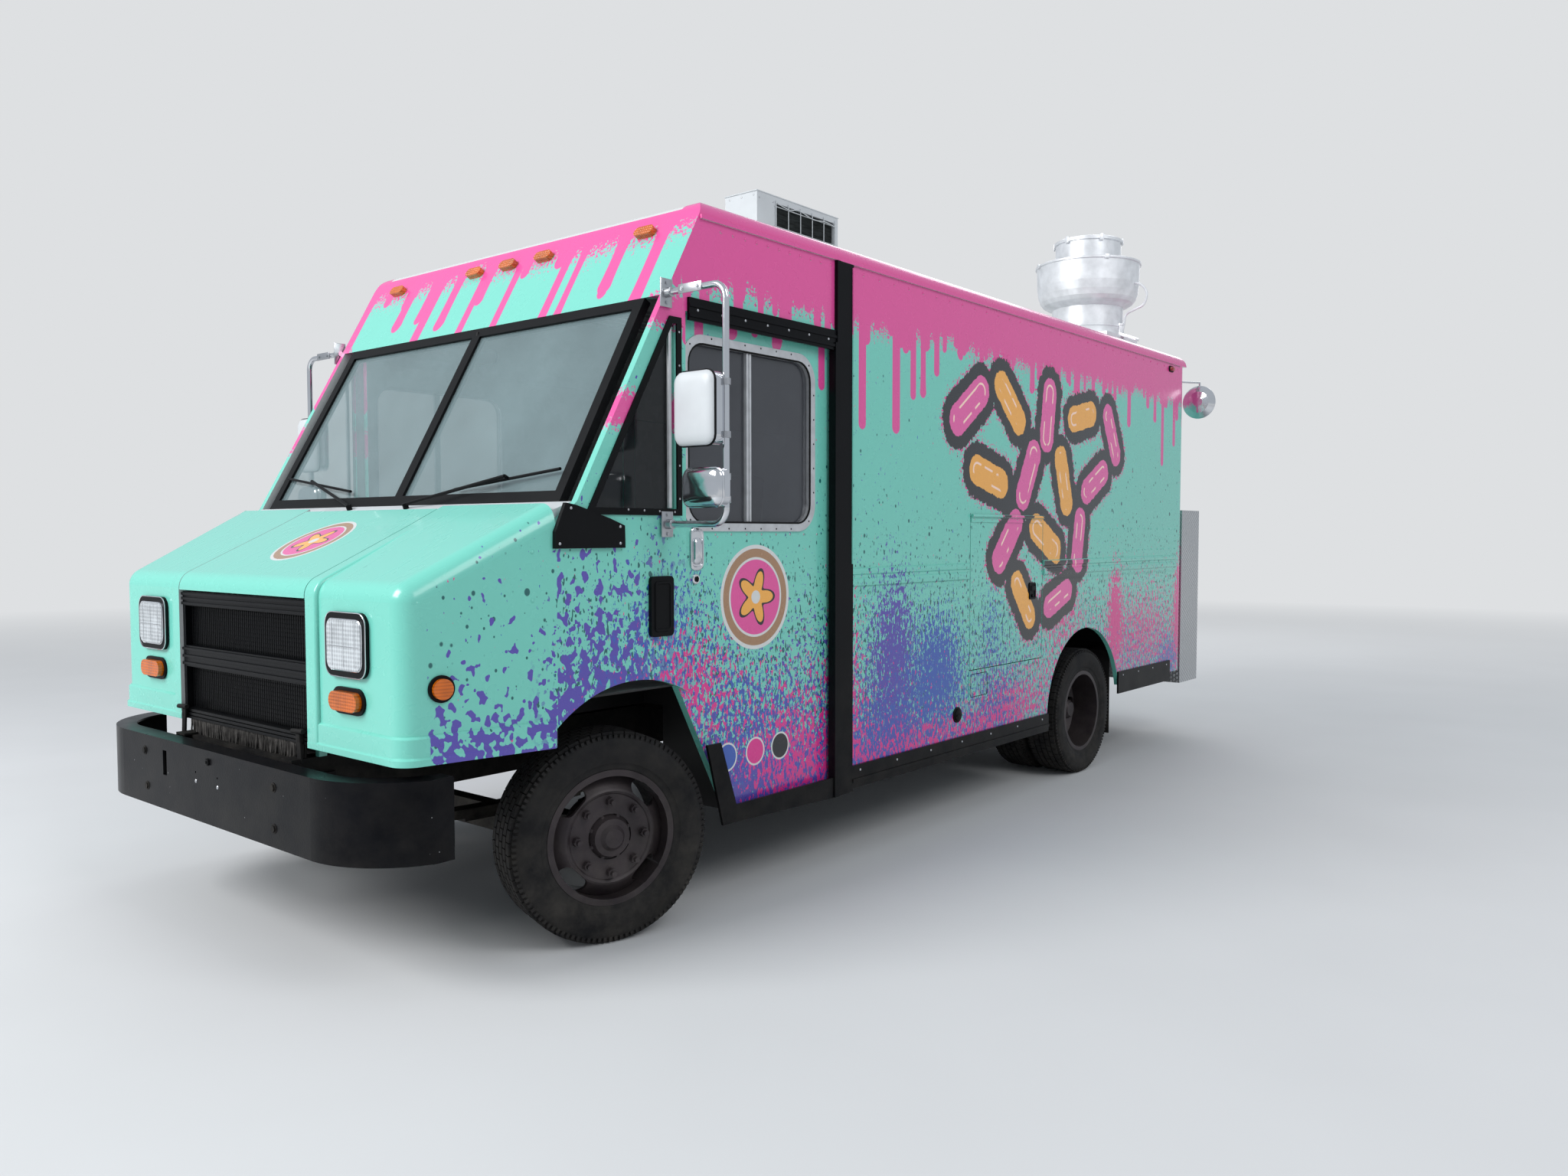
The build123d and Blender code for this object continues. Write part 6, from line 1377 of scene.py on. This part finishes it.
# %% Vent box lids and pod screws
LID_Y, LID_Z = -2.377, 1.282
LID_STEPS = ((0.0001, 1.0), (0.0035, 0.985), (0.0045, 0.95), (0.0045, 0.90), (0.0008, 0.87), (0.0008, 0.0))
POD_SCREWS = ((-2.595, 1.528), (-2.595, 1.590), (-2.830, 1.655), (-2.882, 1.528))
for side, tag in SIDES:
    pod_x = side * (OUT_X + 0.016)
    lid = Form().pad(on_wall(pod_x, LID_Y, LID_Z, rounded(0.086, 0.196, 0.012)), (side, 0, 0), LID_STEPS)
    lid.piece(f"vent_box_lid_{tag}", "black_plastic", "van")
    grow(RIVETS, f"pod_screws_{tag}", [((pod_x, y, z), (side, 0, 0)) for y, z in POD_SCREWS],
         {"Radius": 0.006, "Height": 0.003}, "steel", "van")

# %% [markdown]
# ## Roof equipment
#
# The condenser's side opening shows a coil of thin fins behind a wire guard, and a round guard
# covers its fan. The exhaust fan's top is clipped on, a looped conduit feeds its motor, and a
# drain channel runs down to the roof's edge.

# %% Condenser
AC_FACE_X, AC_MIDDLE_Y, AC_MIDDLE_Z = 0.115, -0.1125, 3.210
AC_FRONT_Y = -0.555
GUARD_X, GUARD_Y = -0.128, -0.075
FIN_SIZES = {"Count": 68, "Step": (0.0, 0.008, 0.0), "Slat": (0.012, 0.0016, 0.486)}
grow(SLATS, "coil_fins", ONE_PLACE, FIN_SIZES, "coil", "van",
     turn=Matrix.Translation((0.098, AC_MIDDLE_Y, AC_MIDDLE_Z)))
guard_place = Matrix.Translation((AC_FACE_X + 0.006, AC_MIDDLE_Y, AC_MIDDLE_Z))
grow(SCREEN, "coil_guard", ONE_PLACE, {"Width": 0.585, "Height": 0.515, "Pitch": 0.1125, "Wire": 0.0028},
     "white_metal", "van", turn=guard_place @ Matrix.Rotation(math.pi / 2, 4, "Z"))
kinked = Form()
kinked.tube([(0.124, -0.385, 3.452), (0.128, -0.28, 3.436), (0.127, -0.19, 3.452), (0.129, -0.06, 3.428),
             (0.126, 0.06, 3.440), (0.124, 0.168, 3.430)], 0.0028, 6, 4)
kinked.piece("kinked_wire", "white_metal", "van")
case_screws = []
for y, pitch in ((-0.535, 0.16), (-0.415, 0.245)):
    case_screws += run((AC_FACE_X, y, 2.965), (AC_FACE_X, y, 3.455), pitch, LEFT)
for z in (3.470, 2.950):
    case_screws += run((-0.09, AC_FRONT_Y, z), (0.09, AC_FRONT_Y, z), 0.09, (0, -1, 0))
grow(RIVETS, "condenser_screws", case_screws, {"Radius": 0.0055, "Height": 0.0026}, "steel", "van")
condenser_lid = Form().block((-0.005, -0.175, 3.4925), (0.248, 0.772, 0.007), 0.003)
condenser_lid.piece("condenser_lid", "white_metal", "van")
guard = Form()
for radius in (0.060, 0.115, 0.170, 0.222):
    circle = [(GUARD_X, GUARD_Y + math.cos(turn) * radius, AC_MIDDLE_Z + math.sin(turn) * radius)
              for turn in (2 * math.pi * i / 28 for i in range(28))]
    guard.tube(circle, 0.0028, 6, loop=True)
for turn in (math.pi / 4 * i for i in range(8)):
    across, up = math.cos(turn), math.sin(turn)
    guard.tube([(GUARD_X - 0.003, GUARD_Y + across * reach, AC_MIDDLE_Z + up * reach)
                for reach in (0.055, 0.236)], 0.0028, 6)
guard.piece("fan_guard", "white_metal", "van")

# %% Exhaust fan and the things around it
FAN_X, FAN_Y, ROOF_TOP = 0.720, 2.460, 2.905
# Each ring of clips: how many, first turn, height over the roof, distance from the axis, size, chamfer
CLIP_RINGS = ((6, 0.3, 0.766, 0.243, (0.008, 0.030, 0.046), 0.002),
              (4, 0.785, 0.600, 0.372, (0.014, 0.034, 0.030), 0.003))
STUB_PROFILE = ((0, 0.040), (0.012, 0.040), (0.014, 0.024), (0.150, 0.024), (0.152, 0.030), (0.166, 0.030),
                (0.168, 0.020), (0.168, 0))
DRAIN_HEAD, DRAIN_FOOT = Vector((0.880, FAN_Y, 3.020)), Vector((1.100, FAN_Y, 2.935))
DRAIN_MIDDLE = Vector((0.990, FAN_Y, 2.980))
# The channel's floor and its two walls: shift from the middle, size
DRAIN_SHEETS = (((0, 0, 0), (0.240, 0.052, 0.003)), ((0, 0.025, 0.010), (0.240, 0.003, 0.022)),
                ((0, -0.025, 0.010), (0.240, 0.003, 0.022)))
fan_bits = Form()
for count, start, height, reach, size, chamfer in CLIP_RINGS:
    for turn in (2 * math.pi / count * i + start for i in range(count)):
        outward = Vector((math.cos(turn), math.sin(turn), 0))
        middle = Vector((FAN_X, FAN_Y, ROOF_TOP + height)) + outward * reach
        fan_bits.block(middle, size, chamfer, Matrix.Rotation(turn, 3, "Z"))
fan_bits.piece("fan_clips", "galvanised", "van")
conduit = Form()
conduit.tube([(1.000, 2.460, 3.350), (1.110, 2.452, 3.338), (1.168, 2.450, 3.270), (1.150, 2.452, 3.190),
              (1.080, 2.456, 3.160), (1.015, 2.460, 3.130), (1.000, 2.460, 3.060), (0.985, 2.460, 2.985)],
             0.0085, 8, 5)
conduit.piece("fan_conduit", "galvanised", "van")
Form().turned((0.975, FAN_Y, ROOF_TOP), (0, 0, 1), STUB_PROFILE, 20).piece("roof_stub", "galvanised", "van")
drain = Form()
drain_turn = Vector((1, 0, 0)).rotation_difference(DRAIN_FOOT - DRAIN_HEAD).to_matrix()
for shift, size in DRAIN_SHEETS:
    drain.block(DRAIN_MIDDLE + Vector(shift), size, 0.0008, drain_turn)
drain.piece("drain_channel", "galvanised", "van")

# %% Side clearance lamps
CLEARANCE_Y, CLEARANCE_Z = 2.905, 2.778
LENS_STEPS = ((0, 1.0), (0.010, 0.98), (0.017, 0.80), (0.020, 0.45), (0.021, 0.0))
LENS_BASE_STEPS = ((0.0002, 1.0), (0.005, 1.0), (0.007, 0.95), (0.007, 0.0))
clearance = Form()
base = Form()
for side, tag in SIDES:
    lens_line = on_wall(side * (OUT_X + 0.004), CLEARANCE_Y, CLEARANCE_Z, rounded(0.074, 0.030, 0.0148))
    clearance.pad(lens_line, (side, 0, 0), LENS_STEPS)
    base_line = on_wall(side * OUT_X, CLEARANCE_Y, CLEARANCE_Z, rounded(0.096, 0.044, 0.0215))
    base.pad(base_line, (side, 0, 0), LENS_BASE_STEPS)
clearance.piece("clearance_lenses", "red_lens", "van")
base.piece("clearance_bases", "black_plastic", "van")

# %% [markdown]
# ## The back and the serving side
#
# These sides don't show in the photograph, and are fitted out as such vans are: a slam handle on
# the rear door, lever latches on the gas cabinet, two pulls on the awning and screws along its
# hinge.

# %% Rear door
BACK = (0, 1, 0)
REAR_Y = 3.220
HANDLE_X = -0.265
PANE_X, PANE_Z = -0.550, 2.190
HANDLE_STEPS = ((0.0003, 1.0), (0.006, 1.0), (0.008, 0.95), (0.008, 0.0))
# The grip's side view: distance from the door, height
HANDLE_GRIP = ((0.006, 1.760), (0.050, 1.752), (0.056, 1.700), (0.050, 1.648), (0.006, 1.640))
HANDLE_LOCK = ((0, 0.013), (0.010, 0.013), (0.012, 0.011), (0.012, 0))
handle = Form()
handle.pad(on_face(HANDLE_X, REAR_Y, 1.700, rounded(0.070, 0.190, 0.016)), BACK, HANDLE_STEPS)
handle.tube([(HANDLE_X, REAR_Y + off, z) for off, z in HANDLE_GRIP], 0.009, 10, 4)
handle.turned((HANDLE_X, REAR_Y + 0.006, 1.590), BACK, HANDLE_LOCK, 16)
handle.piece("rear_door_handle", "steel", "rear_door")
window_line = on_face(PANE_X, REAR_Y + 0.003, PANE_Z, rounded(0.470, 0.500, 0.060, 6))
Form().tube(window_line, 0.010, 8, loop=True).piece("rear_window_gasket", "rubber", "rear_door")
pane = Form().pad(on_face(PANE_X, REAR_Y, PANE_Z, rounded(0.460, 0.490, 0.056)), BACK,
                  ((0.0002, 1.0), (0.0025, 0.99), (0.0030, 0.0)))
pane.piece("rear_window_pane", "side_glass", "rear_door", "clear_glass")

# %% Gas cabinet, awning and tail lamps
CABINET_Y = 3.590
LEVER_X = 0.680
LEVER_STEPS = ((0.0003, 1.0), (0.004, 1.0), (0.005, 0.96), (0.005, 0.0))
TAIL_LAMPS = ((-1.020, REAR_Y, 1.120, 0.050), (1.020, CABINET_Y, 1.120, 0.050),
              (-1.040, REAR_Y, 2.700, 0.030), (1.040, REAR_Y, 2.700, 0.030))
levers = Form()
for z in (0.900, 1.420):
    levers.pad(on_face(LEVER_X, CABINET_Y, z, rounded(0.110, 0.080, 0.012)), BACK, LEVER_STEPS)
    levers.block((LEVER_X, CABINET_Y + 0.010, z), (0.078, 0.012, 0.022), 0.005)
levers.block((0.642, CABINET_Y + 0.0025, 1.105), (0.006, 0.005, 1.190), 0.002)
levers.piece("cabinet_latches", "steel", "van")
awning_pulls = Form()
for y in (0.10, 1.18):
    awning_pulls.tube([(-OUT_X, y - 0.060, 1.500), (-OUT_X - 0.034, y - 0.056, 1.500),
                       (-OUT_X - 0.036, y + 0.056, 1.500), (-OUT_X, y + 0.060, 1.500)], 0.007, 8, 3)
awning_pulls.piece("awning_pulls", "steel", "awning")
awning_screws = run((-OUT_X - 0.005, -0.24, 2.284), (-OUT_X - 0.005, 1.52, 2.284), 0.15, (-1, 0, 0))
grow(RIVETS, "awning_screws", awning_screws, {"Radius": 0.0048, "Height": 0.0022}, "steel", "awning")
tail_rings = Form()
for x, y, z, radius in TAIL_LAMPS:
    tail_rings.ring((x, y, z), BACK, ((0.0, radius), (0.0, radius + 0.012), (0.009, radius + 0.010),
                                      (0.013, radius + 0.003), (0.013, radius)), 32)
tail_rings.piece("tail_lamp_rings", "black_plastic", "van")

# %% Cab interior
DIAL_Y, DIAL_Z = -2.630, 1.480
DIAL_RIM = ((0.0, 0.036), (0.0, 0.044), (0.010, 0.044), (0.012, 0.040), (0.010, 0.036))
DIAL_FACE = ((0.0, 0.037), (0.004, 0.037), (0.004, 0.0))
MIRROR_STEPS = ((0.0, 0.90), (0.006, 1.0), (0.020, 1.0), (0.024, 0.96), (0.024, 0.0))
dials = Form()
for x in (0.560, 0.660, 0.760):
    dials.ring((x, DIAL_Y, DIAL_Z), BACK, DIAL_RIM, 28)
    dials.turned((x, DIAL_Y, DIAL_Z), BACK, DIAL_FACE, 28)
dials.piece("dash_dials", "black_plastic", "van")
room_mirror = Form()
room_mirror.pad(on_face(0.0, -2.360, 2.350, rounded(0.250, 0.064, 0.028)), BACK, MIRROR_STEPS)
room_mirror.tube([(0, -2.352, 2.375), (0, -2.360, 2.420), (0, -2.352, 2.470)], 0.006, 8, 3)
room_mirror.piece("room_mirror", "black_plastic", "van")

# %% [markdown]
# ## Studio
#
# A pale floor and soft lamps. The key stands to the front right of the van and high, so that its
# face is the brightest side, as it was in the photograph, and its left side lies in softer light.

# %% Floor and lamps
FLOOR_REACH = 60.0
PALE = srgb(222, 224, 226)
floor_mesh = bpy.data.meshes.new("studio_floor")
corners = [(x * FLOOR_REACH, y * FLOOR_REACH, 0.0) for x, y in ((-1, -1), (1, -1), (1, 1), (-1, 1))]
floor_mesh.from_pydata(corners, [], [(0, 1, 2, 3)])
studio_floor = bpy.data.objects.new("studio_floor", floor_mesh)
bpy.context.scene.collection.objects.link(studio_floor)
floor_finish, floor_tree, floor_shader, floor_place = new_finish("studio_floor")
far = floor_tree.nodes.new("ShaderNodeVectorMath")
far.operation = "LENGTH"
floor_tree.links.new(floor_place, far.inputs[0])
fade = Field(floor_tree, far.outputs["Value"]).ramp(6.0, 22.0)
grain = noise(floor_tree, floor_place, 0.8, 3.0)
near_tint = blend_color(floor_tree, grain, srgb(196, 197, 198), srgb(206, 207, 208))
floor_tree.links.new(near_tint, floor_shader.inputs["Base Color"])
floor_shader.inputs["Roughness"].default_value = 0.9
horizon = floor_tree.nodes.new("ShaderNodeEmission")
horizon.inputs["Color"].default_value = (*PALE, 1.0)
melt = floor_tree.nodes.new("ShaderNodeMixShader")
fade.plug(melt.inputs[0])
floor_tree.links.new(floor_shader.outputs[0], melt.inputs[1])
floor_tree.links.new(horizon.outputs[0], melt.inputs[2])
floor_tree.links.new(melt.outputs[0], floor_tree.nodes["Material Output"].inputs[0])
floor_mesh.materials.append(floor_finish)

world = bpy.data.worlds.new("studio_world")
bpy.context.scene.world = world
world.use_nodes = True
sky = world.node_tree
background = sky.nodes["Background"]
background.inputs["Color"].default_value = (0.84, 0.90, 0.97, 1.0)
background.inputs["Strength"].default_value = 0.62
backdrop = sky.nodes.new("ShaderNodeBackground")
backdrop.inputs["Color"].default_value = (*PALE, 1.0)
rays = sky.nodes.new("ShaderNodeLightPath")
seen = Field(sky, rays.outputs["Is Camera Ray"]).max(Field(sky, rays.outputs["Is Transmission Ray"]))
choice = sky.nodes.new("ShaderNodeMixShader")
seen.plug(choice.inputs[0])
sky.links.new(background.outputs[0], choice.inputs[1])
sky.links.new(backdrop.outputs[0], choice.inputs[2])
sky.links.new(choice.outputs[0], sky.nodes["World Output"].inputs[0])


def soft_lamp(name, place, target, size, power):
    """A large square lamp that looks at a point."""
    data = bpy.data.lights.new(name, "AREA")
    data.size = size
    data.energy = power
    lamp = bpy.data.objects.new(name, data)
    lamp.location = place
    lamp.rotation_euler = (Vector(target) - Vector(place)).to_track_quat("-Z", "Y").to_euler()
    bpy.context.scene.collection.objects.link(lamp)


soft_lamp("key_lamp", (-3.0, -12.0, 8.0), (0, -2.5, 1.4), 6.0, 1500)
soft_lamp("fill_lamp", (10.5, -2.0, 9.5), (0, 0, 1.4), 6.0, 460)
soft_lamp("back_lamp", (-3.0, 12.0, 8.0), (0, 1, 1.5), 7.0, 420)
